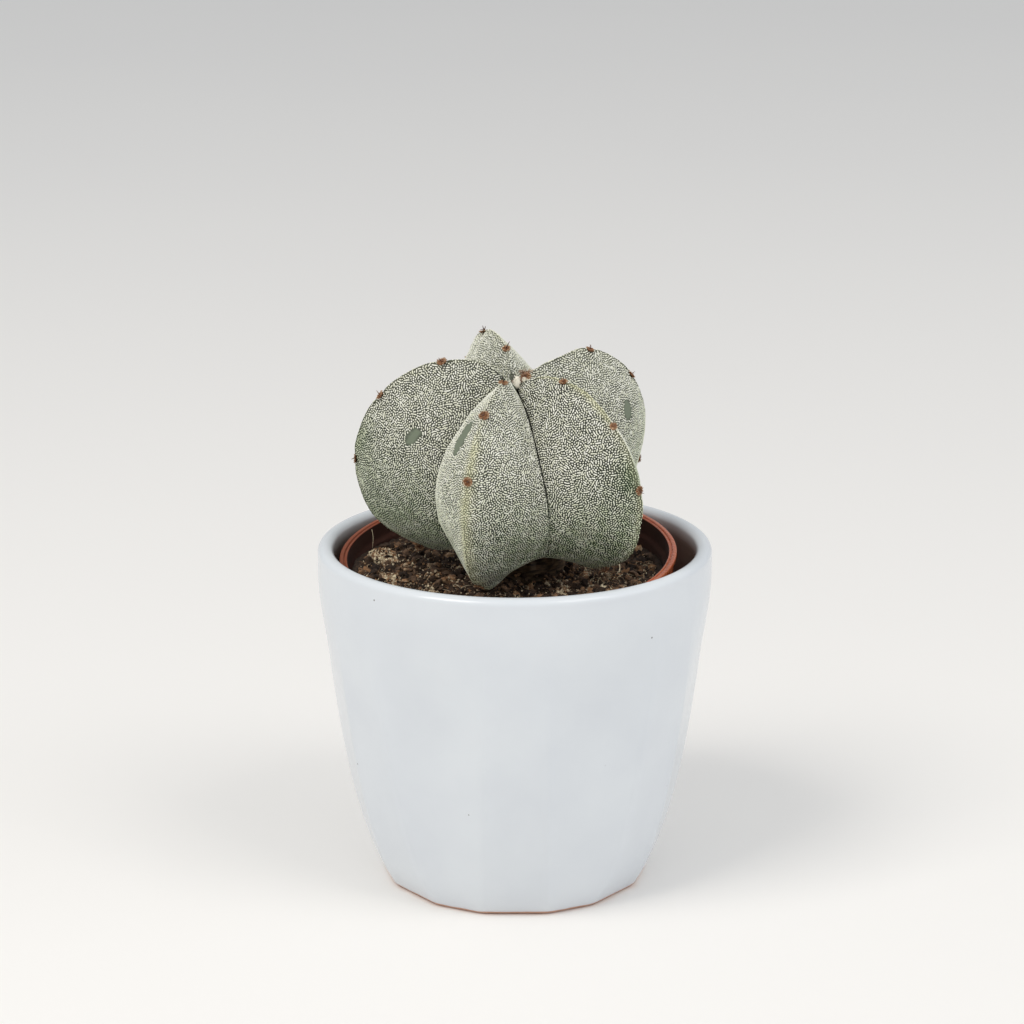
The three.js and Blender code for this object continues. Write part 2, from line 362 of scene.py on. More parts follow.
def facetedRing(radius, height, flatness):
    # one ring of the outside; flatness is 1 where the facets are flat and 0 on the round rim
    pot = stonewarePot
    count = pot["facetPairs"] * 2
    steps = pot["stepsPerFacet"]
    edges = [facetEdgeAngle(e, max(radius, pot["footOuter"]), height) for e in range(-1, count + 2)]
    share = 0.5 - 0.5 * np.cos(np.pi * np.arange(steps) / steps)  # closer together at the edges
    points = []
    for facet in range(count):
        angle = between(edges[facet + 1], edges[facet + 2], share)
        reaches = []
        for k in (facet, facet + 1, facet + 2):  # the facet before, this one and the next
            start, end = (edges[j] if j < len(edges) else edges[j - count] + 2 * np.pi for j in (k, k + 1))
            flat = radius * np.cos((end - start) / 2)
            reaches.append(flat / np.cos(angle - (start + end) / 2))
        soft = pot["edgeSoftness"]
        least = -soft * np.log(sum(np.exp((radius - r) / soft) for r in reaches)) + radius
        reach = between(radius, least, flatness)
        points.append(ringAt(reach * np.sin(angle), -reach * np.cos(angle), height))
    return np.vstack(points)


def glazedStoneware():
    # Glaze over stoneware: fired glossy and pale blue grey. It pools a shade deeper, ripples a
    # little like orange peel, and has a few iron specks. The foot is wiped bare: matte pink clay.
    pot = stonewarePot
    material, tree, shader = startMaterial("glazedStoneware", IOR=1.5)
    place = addNode(tree, "ShaderNodeTexCoord").outputs["Object"]
    height = addNode(tree, "ShaderNodeSeparateXYZ", {0: place}).outputs["Z"]
    # pools 26 mm wide
    cloud = addNode(tree, "ShaderNodeTexNoise", {"Vector": place, "Scale": 38.0, "Detail": 3.0})
    glaze = addNode(tree, "ShaderNodeMix", {
        0: addNode(tree, "ShaderNodeMapRange", {0: cloud.outputs["Fac"], 1: 0.35, 2: 0.7}).outputs[0],
        6: fromHex(pot["glazeColour"]), 7: fromHex(pot["poolColour"]),
    }, data_type="RGBA")
    # painted shade: the inside darkens below the rim, where the gap between the pots lies in shade
    insideShaded = tinted(tree, glaze.outputs[2], {"insideShade": fromHex(pot["insideShadeColour"])})
    # iron specks 0.3 to 0.5 mm wide, in one cell in eight of a 7 mm grid
    specks = addNode(tree, "ShaderNodeTexVoronoi", {"Vector": place, "Scale": 145.0})
    chosen = addNode(tree, "ShaderNodeSeparateColor", {0: specks.outputs["Color"]})
    fewer = addNode(tree, "ShaderNodeMath", {0: chosen.outputs["Red"], 1: 0.87}, operation="GREATER_THAN")
    near = addNode(tree, "ShaderNodeMapRange", {
        0: specks.outputs["Distance"], 1: 0.026, 2: 0.05, 3: 1.0, 4: 0.0,
    })
    speck = addNode(tree, "ShaderNodeMath", {0: near.outputs[0], 1: fewer.outputs[0]}, operation="MULTIPLY")
    specked = addNode(tree, "ShaderNodeMix", {
        0: speck.outputs[0], 6: insideShaded, 7: fromHex(pot["speckColour"]),
    }, data_type="RGBA")
    # the glaze line above the foot wanders by a few tenths of a millimetre
    wander = addNode(tree, "ShaderNodeTexNoise", {"Vector": place, "Scale": 160.0, "Detail": 1.0})
    line = addNode(tree, "ShaderNodeMath", {
        0: wander.outputs["Fac"], 1: 0.0009, 2: height,
    }, operation="MULTIPLY_ADD")
    bare = addNode(tree, "ShaderNodeMapRange", {
        0: line.outputs[0], 1: (pot["glazeStartsAt"] + 0.3) / 1000, 2: (pot["glazeStartsAt"] + 0.6) / 1000,
        3: 1.0, 4: 0.0,
    })
    # grog 0.6 mm wide
    grain = addNode(tree, "ShaderNodeTexNoise", {"Vector": place, "Scale": 1600.0, "Detail": 2.0})
    clay = addNode(tree, "ShaderNodeMix", {
        0: grain.outputs["Fac"], 6: fromHex(pot["clayColour"]), 7: fromHex(pot["grogColour"]),
    }, data_type="RGBA")
    colour = addNode(tree, "ShaderNodeMix", {
        0: bare.outputs[0], 6: specked.outputs[2], 7: clay.outputs[2],
    }, data_type="RGBA")
    rough = addNode(tree, "ShaderNodeMapRange", {0: bare.outputs[0], 3: 0.2, 4: 0.85})
    # orange peel 3 mm wide
    ripple = addNode(tree, "ShaderNodeTexNoise", {"Vector": place, "Scale": 330.0, "Detail": 1.0})
    bump = addNode(tree, "ShaderNodeBump", {
        "Height": ripple.outputs["Fac"], "Strength": 0.12, "Distance": 0.0002,
    })
    tree.links.new(colour.outputs[2], shader.inputs["Base Color"])
    tree.links.new(rough.outputs[0], shader.inputs["Roughness"])
    tree.links.new(bump.outputs[0], shader.inputs["Normal"])
    return material


def buildStonewarePot():
    pot = stonewarePot
    rimRadius, rimStart = pot["cornerLine"][-1]
    foot = roundCorners(pot["underLine"], 1.2)
    outside = smoothCurve(pot["cornerLine"], np.linspace(0, 1, 64))
    corner = roundCorners([(pot["footFlatFrom"], 0), (pot["footOuter"], 0), outside[0]], 0.6, 4)[:-1]
    turn = np.radians(np.linspace(0, 180, 19)[1:])
    rim = np.column_stack([
        rimRadius - pot["wall"] / 2 * (1 - np.cos(turn)),
        rimStart + (pot["height"] - rimStart) * np.sin(turn),
    ])
    inside = smoothCurve(pot["insideLine"], np.linspace(0, 1, 50))[1:]
    floor = roundCorners([inside[-1], *pot["floorLine"]], 3)[1:]
    line = np.vstack([foot, corner, outside, rim, inside, floor])
    faceted = range(len(foot), len(foot) + len(corner) + len(outside))
    rings = []
    for i, (radius, height) in enumerate(line):
        flatness = 1 - smoothStep(height, *pot["facetsFade"]) if i in faceted else 0
        rings.append(facetedRing(radius, height, flatness))
    points, faces = closedStack(rings, (0, 0, line[0][1]), (0, 0, line[-1][1]))
    past = faceted.stop + len(rim)
    # painted shade on the inside, darker from just below the rim downwards
    insideShade = [pot["mostInsideShade"] * smoothStep(pot["height"] - h, *pot["insideShadeStarts"]) if i >= past - 4 else 0
             for i, (_, h) in enumerate(line)]
    addPiece("glazed_pot", points, faces, glazedStoneware(), "ceramic_pot",
             marks={"insideShade": np.append(np.repeat(insideShade, len(rings[0])), (0, pot["mostInsideShade"]))})
    print("outer pot:", len(points), "points")


# Inner pot: thin injection-moulded plastic with a band, a rolled double lip and drain holes

growerPot = {
    # its own frame stands on the front edge of its base
    "place": (0.67, 6.86, 11.69),
    "leanForward": 5.2,
    "leanLeft": 1.7,
    "bottom": 0,
    "baseRadius": 36.6,
    "bandBottom": 89,
    "bandRadius": 51.6,
    "lipRadius": 52.7,
    "top": 95,
    "wall": 1.2,
    "holeRadius": 3.5,
    "holeRing": 25,
    "holes": 6,
    "holeSides": 24,
    "sides": 180,
    "colour": "#cc6f43",
    "shadeColour": "#a8502e",
    # painted shade: its colour, how dark inside below the lip, and how dark the painted rim shadow on the
    # left of the lip
    "paintedShadeColour": "#241512",
    "shadeInside": 0.92,
    "shadeAtLeft": 0.6,
}


growerTurn = leanOf(growerPot)


def fromGrower(local):
    # from the leaning pot's own frame to the outer pot's
    return np.asarray(local) @ growerTurn.T + np.array(growerPot["place"])


def growerInside(height):
    # inside radius below the band
    pot = growerPot
    share = (height - pot["bottom"]) / (pot["bandBottom"] - pot["bottom"])
    return pot["baseRadius"] + (pot["bandRadius"] - 1.6 - pot["baseRadius"]) * share - pot["wall"]


def mouldedPolypropylene():
    # Polypropylene, injection moulded in terracotta colour: a satin skin that lets a little light
    # in, with flow marks round it and fine scuffs that show as a change of gloss.
    pot = growerPot
    material, tree, shader = startMaterial(
        "mouldedPolypropylene", IOR=1.49, Subsurface_Weight=0.12, Subsurface_Scale=0.002,
        Subsurface_Radius=(1.0, 0.35, 0.2))
    place = addNode(tree, "ShaderNodeTexCoord").outputs["Object"]
    flow = addNode(tree, "ShaderNodeTexNoise", {
        "Vector": addNode(tree, "ShaderNodeMapping", {0: place, 3: (30, 30, 260)}).outputs[0],
        "Scale": 1.0, "Detail": 3.0,
    })
    colour = addNode(tree, "ShaderNodeMix", {
        0: flow.outputs["Fac"], 6: fromHex(pot["colour"]), 7: fromHex(pot["shadeColour"]),
    }, data_type="RGBA")
    # painted shade: darker inside below the lip, and the outer pot's rim shadow painted on the left of the
    # lip; the darkened part is also duller
    paintedShade = addNode(tree, "ShaderNodeAttribute", attribute_name="paintedShade")
    colour = addNode(tree, "ShaderNodeMix", {
        0: paintedShade.outputs["Fac"], 6: colour.outputs[2], 7: fromHex(pot["paintedShadeColour"]),
    }, data_type="RGBA")
    scuff = addNode(tree, "ShaderNodeTexNoise", {"Vector": place, "Scale": 420.0, "Detail": 4.0})
    rough = addNode(tree, "ShaderNodeMapRange", {0: scuff.outputs["Fac"], 1: 0.3, 2: 0.7, 3: 0.2, 4: 0.36})
    dullInShade = addNode(tree, "ShaderNodeMapRange", {
        0: paintedShade.outputs["Fac"], 1: 0.1, 2: 0.8, 3: rough.outputs[0], 4: 1.0,
    })
    tree.links.new(colour.outputs[2], shader.inputs["Base Color"])
    tree.links.new(dullInShade.outputs[0], shader.inputs["Roughness"])
    bump = addNode(tree, "ShaderNodeBump", {
        "Height": scuff.outputs["Fac"], "Strength": 0.1, "Distance": 0.0001,
    })
    tree.links.new(bump.outputs[0], shader.inputs["Normal"])
    return material


def buildGrowerPot():
    pot = growerPot
    baseTop = pot["bottom"] + pot["wall"]
    band = pot["bandRadius"] - pot["wall"]
    top, lip = pot["top"], pot["lipRadius"]
    under = roundCorners([(30, pot["bottom"]), (pot["baseRadius"] - 0.4, pot["bottom"]),
                          (growerInside(baseTop) + pot["wall"], baseTop + 1)], 1)
    # from the outside of the wall over the band and the lip's double roll to the inside
    side = roundCorners([
        (growerInside(30) + pot["wall"], 30),
        (growerInside(pot["bandBottom"]) + pot["wall"], pot["bandBottom"] - 0.8),
        (pot["bandRadius"], pot["bandBottom"]),
        (pot["bandRadius"], top - 1.9),
        (lip, top - 1.5),
        (lip, top - 0.1),
        (lip - 1.25, top),
        (lip - 1.4, top - 0.6),
        (band + 0.55, top - 0.6),
        (band + 0.42, top - 0.15),
        (band - 0.02, top - 0.17),
        (band - 0.12, top - 0.5),
        (band - 0.14, top - 1),
        (band - 0.16, top - 1.8),
        (band - 0.25, pot["bandBottom"] + 0.9),
        (growerInside(pot["bandBottom"]), pot["bandBottom"] + 0.1),
        (growerInside(30), 30),
    ], 0.45)
    floor = roundCorners([(growerInside(baseTop + 1), baseTop + 1), (growerInside(baseTop) - 0.5, baseTop),
                          (30, baseTop)], 0.8)
    line = np.vstack([under, side, floor])
    turn = evenTurns(pot["sides"])
    rings = [ringAt(r * np.sin(turn), -r * np.cos(turn), h) for r, h in line]
    points, faces = closedStack(rings, (0, 0, pot["bottom"]), (0, 0, baseTop))
    innerTop = len(under) + int(np.argmax(side[:, 1] > top - 0.2))
    # painted shade inside below the lip, and the outer pot's rim shadow painted on the left of the lip
    paintedShade = [pot["shadeInside"] * smoothStep(top - h, 0.2, 0.55) if r < band + 0.3 and i > innerTop else 0
            for i, (r, h) in enumerate(line)]
    paintedShade = np.append(np.repeat(paintedShade, len(turn)), (0, 0.9))
    onLip = points[:, 2] > top - 1.6
    paintedShade = np.maximum(paintedShade, pot["shadeAtLeft"] * onLip * np.clip(-points[:, 0] / lip, 0, 1) ** 2)
    piece = addPiece("grower_pot_plastic", fromGrower(points), faces, mouldedPolypropylene(),
                     "grower_pot", marks={"paintedShade": paintedShade})
    drill(piece)
    print("inner pot:", len(piece.data.vertices), "points")


def drill(piece):
    # the drain holes, cut through the base
    pot = growerPot
    sides = pot["holeSides"]
    shapes = []
    turn = evenTurns(sides)
    for around in evenTurns(pot["holes"]):
        x = pot["holeRing"] * np.cos(around) + pot["holeRadius"] * np.cos(turn)
        y = pot["holeRing"] * np.sin(around) + pot["holeRadius"] * np.sin(turn)
        rings = [ringAt(x, y, h) for h in (pot["bottom"] - 3, pot["bottom"] + 4)]
        faces = ringFaces(2, sides) + [tuple(reversed(range(sides))), tuple(range(sides, 2 * sides))]
        shapes.append((np.vstack(rings), faces, 0))
    points, faces, _ = joined(shapes)
    mesh = bpy.data.meshes.new("drillBits")
    mesh.from_pydata((fromGrower(points) / 1000).tolist(), [], faces)
    bits = addObject("drillBits", mesh)
    cut = piece.modifiers.new("drainHoles", "BOOLEAN")
    cut.operation = "DIFFERENCE"
    cut.solver = "EXACT"
    cut.object = bits
    bpy.context.view_layer.update()
    drilled = bpy.data.meshes.new_from_object(piece.evaluated_get(bpy.context.evaluated_depsgraph_get()))
    piece.modifiers.clear()
    piece.data = drilled
    bpy.data.objects.remove(bits)


# The plant's body: five thick ribs on a short neck, leaning forward out of the pot

evenFall = (1, 1, 1, 1.16, 1.35)
plant = {
    "crown": (2.1, -16.5, 164.6),
    "leanForward": 15.3,
    "leanLeft": 1.1,
    # innerHeight is how high the crest stands near the crown, against its height farther out.
    # fall is how steeply the flanks before and after the crest drop, at five heights from the crown
    # down; the pale share is how pale their skin is, near the crown and low down, partly their own pale
    # bloom and partly painted light and shade for how much light each flank gets; the crest tint is how
    # cream the crest is there, which on the right rib near the crown is also a painted highlight along
    # the crest.
    "ribs": [
        {"name": "front", "direction": -114.5, "reach": 0.907, "height": 1.03, "innerHeight": 1,
         "areoles": [0.16, 0.33, 0.52, 0.8],
         "fall": ((1, 0.74, 0.72, 1.75, 2.2), (1, 1, 1, 1.7, 2.4)), "bloomAndLight": ((0.45, 0.5), (0.35, 0.1)),
         "crestTintAndHighlight": (0.25, 0.8)},
        {"name": "right", "direction": -40.6, "reach": 0.983, "height": 0.972, "innerHeight": 0.94,
         "areoles": [0.187, 0.41, 0.585, 0.84],
         "fall": ((1, 1, 1, 1.5, 2.3), evenFall), "bloomAndLight": ((0.05, 0), (0, 0)),
         "crestTintAndHighlight": (0.9, 0.45)},
        {"name": "backRight", "direction": 30.8, "reach": 0.938, "height": 0.93, "innerHeight": 0.76,
         "areoles": [0.055, 0.285, 0.487, 0.72, 0.85],
         "fall": (evenFall, evenFall), "bloomAndLight": ((0.45, 0.45), (0.3, 0.3)),
         "crestTintAndHighlight": (0.25, 0.2)},
        {"name": "back", "direction": 112, "reach": 1.03, "height": 1.03, "innerHeight": 1,
         "areoles": [0.13, 0.33, 0.52, 0.7, 0.85],
         "fall": (evenFall, evenFall), "bloomAndLight": ((0.8, 0.6), (0.6, 0.5)),
         "crestTintAndHighlight": (0.35, 0.2)},
        {"name": "left", "direction": 173.5, "reach": 1.11, "height": 1.053, "innerHeight": 1,
         "areoles": [0.24, 0.45, 0.625, 0.86],
         "fall": (evenFall, evenFall), "bloomAndLight": ((0.4, 0.4), (0.15, 0.1)),
         "crestTintAndHighlight": (0.3, 0.2)},
    ],
    "crestLine": [(0, 0), (10.7, 5.6), (23, 5.5), (33.9, -0.5), (42.9, -11.2), (47.5, -28.1),
                  (42.9, -47.3), (28.2, -58.2), (15, -55.5)],
    "grooveLine": [(0, 0), (6.5, -3.4), (14, -7.5), (22, -14.5), (28, -24.5), (30, -36.5),
                   (26, -46.5), (20, -51.5), (14.5, -53.5)],
    "rootLine": [(13.2, -60.5), (12, -66), (11, -70), (8.6, -77), (5, -83), (0.8, -85.9)],
    "rootTip": (0, 0, -86),
    "rootRings": 34,
    "rootMark": 1.1,  # stands for the share along the body, which is 0 to 1 above the root
    # wrinkles of the neck: from which share down, over which share they grow, below which height,
    # and how many per mm round it and up it
    "bark": {"depth": 0.7, "start": 0.96, "grow": 0.04, "below": -50, "wide": 0.22, "high": 0.8},
    "flankPower": 0.91,
    "flankAngle": 0.63,  # radians, about half of what lies between two crests
    # how far each groove, after its rib, is turned from the middle: near the crown and low down
    "grooveTurns": [(-3, 3), (0, 0), (0, 0), (0, 0), (-3, -2)],
    "seam": {"depth": 0.6, "halfWidth": 0.2},
    "rowsDown": 150,
    "columnsPerFlank": 28,
    "dent": {"depth": 0.45, "high": 0.022, "wide": 0.1},  # at each areole, in shares along and across
    "crownShift": (-2.3, -1.2, -0.4),  # the growing point is a little off the middle
    "hollow": {"at": (-3.1, -0.7, -0.4), "depth": 2.0, "radius": 3.3},
    "unevenness": 0.28,
    # rubbed places without flecks, as leaves along lines of (share across, share down)
    "rubbed": [
        {"rib": 4, "side": 1, "line": [(0.52, 0.477), (0.535, 0.453), (0.545, 0.43)], "half": 1.9},
        {"rib": 0, "side": -1, "line": [(0.36, 0.44), (0.34, 0.40), (0.25, 0.35)], "half": 2.6},
        {"rib": 2, "side": -1, "line": [(0.38, 0.48), (0.45, 0.49), (0.51, 0.50)], "half": 2.3},
    ],
    "rubbedEdge": (0.8, 1.1),
    "rubbedRoughness": 0.13,
    # greener places with smaller flecks, partly their own green and partly painted shade on flanks that get
    # less light: share across and down, radius in mm and strength
    "green": [
        {"rib": 1, "side": 1, "at": (0, 0.56), "radius": 7, "strength": 1},
        {"rib": 1, "side": 1, "at": (0.15, 0.74), "radius": 8, "strength": 0.7},
        {"rib": 4, "side": 1, "at": (0, 0.58), "radius": 9, "strength": 0.8},
        {"rib": 4, "side": 1, "at": (0.2, 0.68), "radius": 8, "strength": 0.8},
    ],
}
plantTurn = leanOf(plant)


def inPot(local):
    # from the plant's own frame, with the crown at 0, to the pot's
    return np.asarray(local) @ plantTurn.T + np.array(plant["crown"])


def ribValues(key):
    return np.array([rib[key] for rib in plant["ribs"]])


def bodyPoint(rib, side, across, along):
    # across is 0 on a rib's crest and 1 in its groove, along is 0 at the crown and 1 at the neck
    rib, side, across, along = np.broadcast_arrays(rib, side, across, along)
    directions, reaches = ribValues("direction"), ribValues("reach")
    heights, inner = ribValues("height"), ribValues("innerHeight")
    other = (rib + side) % 5
    half = ((directions[other] - directions[rib]) * side) % 360 / 2
    turns = np.array(plant["grooveTurns"], float)[np.where(side > 0, rib, (rib - 1) % 5)]
    turn = between(turns[..., 0], turns[..., 1], smoothStep(along, 0.15, 0.6))
    angle = np.radians(directions[rib] + across * (side * half + turn))
    height = heights[rib] * (1 - (1 - inner[rib]) * (1 - smoothStep(along, 0.16, 0.29)))
    crest = smoothCurve(plant["crestLine"], along) * np.stack([reaches[rib], height], -1)
    grooveReach = 1 + 0.3 * (reaches[rib] + reaches[other] - 2)
    grooveHeight = (heights[rib] + heights[other]) / 2
    groove = smoothCurve(plant["grooveLine"], along) * np.stack([grooveReach, grooveHeight], -1)
    falls = ribValues("fall")[rib, (side + 1) // 2]
    level = np.clip(along, 0, 1) * 4
    upper = np.minimum(level.astype(int), 3)
    above, below = (np.take_along_axis(falls, (upper + k)[..., None], -1)[..., 0] for k in (0, 1))
    fall = between(above, below, smoothStep(level - upper, 0, 1))
    share = (np.clip(1 - across ** plant["flankPower"], 0, 1) ** fall)[..., None]
    place = between(groove, crest, share)
    point = np.stack([place[..., 0] * np.cos(angle), place[..., 0] * np.sin(angle), place[..., 1]], -1)
    near = np.exp(-(place[..., 0] / 8) ** 2) * (along < 0.5)
    return point + near[..., None] * np.array(plant["crownShift"])


def swell(points):
    # slow unevenness of a grown surface, from -1 to 1: waves 15 to 35 mm long
    x, y, z = points.T
    return (np.sin(0.31 * x + 0.17 * z + 1.1) * np.sin(0.27 * y - 0.12 * z)
            + 0.6 * np.sin(0.43 * z + 0.2 * x) * np.sin(0.38 * y + 0.9)) / 1.6


def skinMesh():
    # points, quads and marks of the body from the tip of the root up to the crown
    steps, rows = plant["columnsPerFlank"], plant["rowsDown"]
    around = []
    for r in range(5):
        around += [(r, 1, c / steps) for c in range(steps)]
        around += [((r + 1) % 5, -1, 1 - c / steps) for c in range(steps)]
    rib, side, across = np.array(around).T
    rib, side = rib.astype(int), side.astype(int)
    across = (1 - across) * across ** 1.2 + across * (1 - (1 - across) ** 1.7)  # closer at crest and groove
    columns = len(rib)
    alongs = np.linspace(0, 1, rows + 1)[1:] ** 1.05
    rings, levels = [], []
    rim = bodyPoint(rib, side, across, 1)
    rimTurn = np.arctan2(rim[:, 1], rim[:, 0])
    for radius, height in smoothCurve(plant["rootLine"], np.linspace(1, 0, plant["rootRings"])):
        rings.append(ringAt(radius * np.cos(rimTurn), radius * np.sin(rimTurn), height))
        levels.append(plant["rootMark"])
    for along in alongs[::-1]:
        rings.append(bodyPoint(rib, side, across, along))
        levels.append(along)
    marks = np.tile(np.column_stack([rib, side, across]), (len(rings), 1))
    marks = np.column_stack([marks, np.repeat(levels, columns)])
    points, faces = closedStack(rings, plant["rootTip"], plant["crownShift"])
    marks = np.vstack([marks, (0, 1, 0, plant["rootMark"]), (0, 1, 0.5, 0)])
    return points, faces, marks


def pointNormals(points, faces):
    # the way the surface faces at each point, by the area of the faces around it
    quads = np.array([f if len(f) == 4 else (*f, f[2]) for f in faces])
    a, b, c, d = (points[quads[:, k]] for k in range(4))
    face = np.cross(c - a, d - b)
    total = np.zeros_like(points)
    for k in range(4):
        np.add.at(total, quads[:, k], face)
    return total / np.maximum(np.linalg.norm(total, axis=1, keepdims=True), 1e-9)


def fromGroove(points, across):
    # roughly how many mm each point is from its groove
    return (1 - across) * plant["flankAngle"] * np.hypot(points[:, 0], points[:, 1])


def sculpt(points, normals, marks):
    # small forms that growth leaves: slow waves, the hollow of the crown, dents at the areoles,
    # a fine seam in each groove and the wrinkled bark of the neck
    rib, _, across, along = marks.T
    push = plant["unevenness"] * swell(points) * smoothStep(along, 0.03, 0.2)
    hollow, dent, seam, bark = (plant[k] for k in ("hollow", "dent", "seam", "bark"))
    toHollow = np.linalg.norm(points - hollow["at"], axis=1)
    push -= hollow["depth"] * np.exp(-(toHollow / hollow["radius"]) ** 2)
    for r, shape in enumerate(plant["ribs"]):
        for spot in shape["areoles"]:
            near = np.exp(-((along - spot) / dent["high"]) ** 2) * np.exp(-(across / dent["wide"]) ** 2)
            push -= dent["depth"] * near * (rib == r)
    beside = fromGroove(points, across)
    deep = smoothStep(along, 0.01, 0.05) * (1 - smoothStep(along, 0.9, 0.98))
    push -= seam["depth"] * np.exp(-(beside / seam["halfWidth"]) ** 2) * deep
    push *= along < plant["rootMark"]
    for i in np.flatnonzero((along > bark["start"]) & (points[:, 2] < bark["below"])):
        place = Vector(points[i] * (bark["wide"], bark["wide"], bark["high"]))
        grown = min(1, (along[i] - bark["start"]) / bark["grow"])
        push[i] += bark["depth"] * noise.fractal(place, 0.8, 2.1, 4) * grown
    return points + normals * push[:, None]


def rubbedShare(points, marks, room=0.0):
    # 1 inside a rubbed place, falling to 0 at its edge; room widens the places by that many mm
    share = np.zeros(len(points))
    rough = plant["rubbedRoughness"]
    for place in plant["rubbed"]:
        across, along = smoothCurve(place["line"], np.linspace(0, 1, 21)).T
        middles = bodyPoint(place["rib"], place["side"], across, along)
        leaf = np.sin(np.linspace(0.25, 2.9, 21)) ** 0.7  # narrow at both ends
        for middle, spread in zip(middles, leaf):
            reach = np.linalg.norm(points - middle, axis=1) / (place["half"] * spread + room)
            reach += rough * np.sin(2.9 * points[:, 0] + 1.3) * np.sin(3.3 * points[:, 2])
            share = np.maximum(share, 1 - smoothStep(reach, *plant["rubbedEdge"]))
    return share * (marks[:, 3] < plant["rootMark"])


skinColours = {
    "ground": "#1c2019",
    "groundLight": "#33372c",
    "crest": "#85866a",
    "pale": "#6f7264",
    "low": "#243a1d",
    "rubbed": "#717a68",
    "edge": "#a9a07c",
    "cork": "#30251c",
    "corkLight": "#7d674f",
}


def cactusSkin():
    # Plant skin: a dark grey-green wax, dull but not dead, paler on some flanks, partly from a pale bloom
    # and partly as painted light and shade. It is yellower along the crests, with a painted highlight
    # along the right rib's crest, greener low down and in patches that also paint shade, smooth where it
    # was rubbed, and has dry cream edges under the ribs and brown cork at the neck.
    colours = skinColours
    material, tree, shader = startMaterial("cactusSkin", IOR=1.42, Roughness=0.62, Subsurface_Weight=0.06,
                                           Subsurface_Scale=0.001, Subsurface_Radius=(0.5, 1.0, 0.3))
    place = addNode(tree, "ShaderNodeTexCoord").outputs["Object"]
    blotch = addNode(tree, "ShaderNodeTexNoise", {"Vector": place, "Scale": 130.0, "Detail": 4.0})  # 8 mm
    layer = addNode(tree, "ShaderNodeMix", {
        0: blotch.outputs["Fac"], 6: fromHex(colours["ground"]), 7: fromHex(colours["groundLight"]),
    }, data_type="RGBA")
    tints = {mark: fromHex(colours[mark]) for mark in ("pale", "low", "crest", "rubbed", "edge")}
    # bark in rings 1 mm high and 3 mm wide
    flat = addNode(tree, "ShaderNodeMapping", {0: place, 3: (330, 330, 1000)})
    bark = addNode(tree, "ShaderNodeTexNoise", {"Vector": flat.outputs[0], "Scale": 1.0, "Detail": 5.0})
    tints["cork"] = addNode(tree, "ShaderNodeMix", {
        0: addNode(tree, "ShaderNodeMapRange", {0: bark.outputs["Fac"], 1: 0.38, 2: 0.66}).outputs[0],
        6: fromHex(colours["cork"]), 7: fromHex(colours["corkLight"]),
    }, data_type="RGBA").outputs[2]
    pores = addNode(tree, "ShaderNodeTexNoise", {"Vector": place, "Scale": 2400.0, "Detail": 2.0})  # 0.4 mm
    bump = addNode(tree, "ShaderNodeBump", {
        "Height": pores.outputs["Fac"], "Strength": 0.25, "Distance": 0.0001,
    })
    tree.links.new(tinted(tree, layer.outputs[2], tints), shader.inputs["Base Color"])
    tree.links.new(bump.outputs[0], shader.inputs["Normal"])
    return material


def greenShare(points):
    # how far each point is in a green place, whose green partly paints shade
    share = np.zeros(len(points))
    for spot in plant["green"]:
        middle = bodyPoint(spot["rib"], spot["side"], *spot["at"])
        near = np.exp(-(np.linalg.norm(points - middle, axis=1) / spot["radius"]) ** 2)
        share = np.maximum(share, spot["strength"] * near)
    return share


def tintMarks(points, marks):
    # how far each tint of the skin shows at each point
    rib, side, across, along = marks.T
    x, y, z = points.T
    patchy = 0.5 + 0.5 * np.sin(0.9 * x + 0.5 * z) * np.sin(0.7 * y - 0.6 * z)
    rib, side = rib.astype(int), side.astype(int)
    # paleness of each flank: partly its own bloom, partly painted light and shade for the light that flank
    # gets
    bloomAndLight = ribValues("bloomAndLight")[rib, (side + 1) // 2]
    pale = between(bloomAndLight[:, 0], bloomAndLight[:, 1], smoothStep(along, 0.3, 0.7))
    frontCrest = (rib == 0) * smoothStep(along, 0.35, 0.45)
    # crests are yellower; the strong even tint on the right rib near the crown is also a painted highlight
    # along its crest
    tint = ribValues("crestTintAndHighlight")[rib]
    tint = between(tint[:, 0], tint[:, 1], smoothStep(along, 0.35, 0.45))
    crest = tint * np.exp(-(across / (0.045 + 0.02 * frontCrest)) ** 2) * smoothStep(along, 0.05, 0.12)
    crest = crest * (0.5 + 0.5 * np.maximum(patchy, tint > 0.4))  # a strong tint is even
    low = smoothStep(along, 0.42, 0.75) * (0.35 + 0.65 * patchy)
    low = low * (1 - 0.6 * frontCrest * np.exp(-(across / 0.3) ** 2))
    # greener patches, which also paint shade
    low = np.maximum(low, greenShare(points) * (0.7 + 0.3 * patchy))
    cork = smoothStep(along, 0.92, 1.0)
    edge = np.exp(-(across / 0.028) ** 2) * smoothStep(along, 0.78, 0.84)
    return {"pale": np.clip(pale * (0.7 + 0.6 * patchy), 0, 1), "low": low * (1 - 0.5 * pale),
            "crest": np.clip(crest, 0, 1), "rubbed": rubbedShare(points, marks), "edge": edge, "cork": cork}


# Flecks: white wool in small dots, evenly spaced, which join into short flat worms

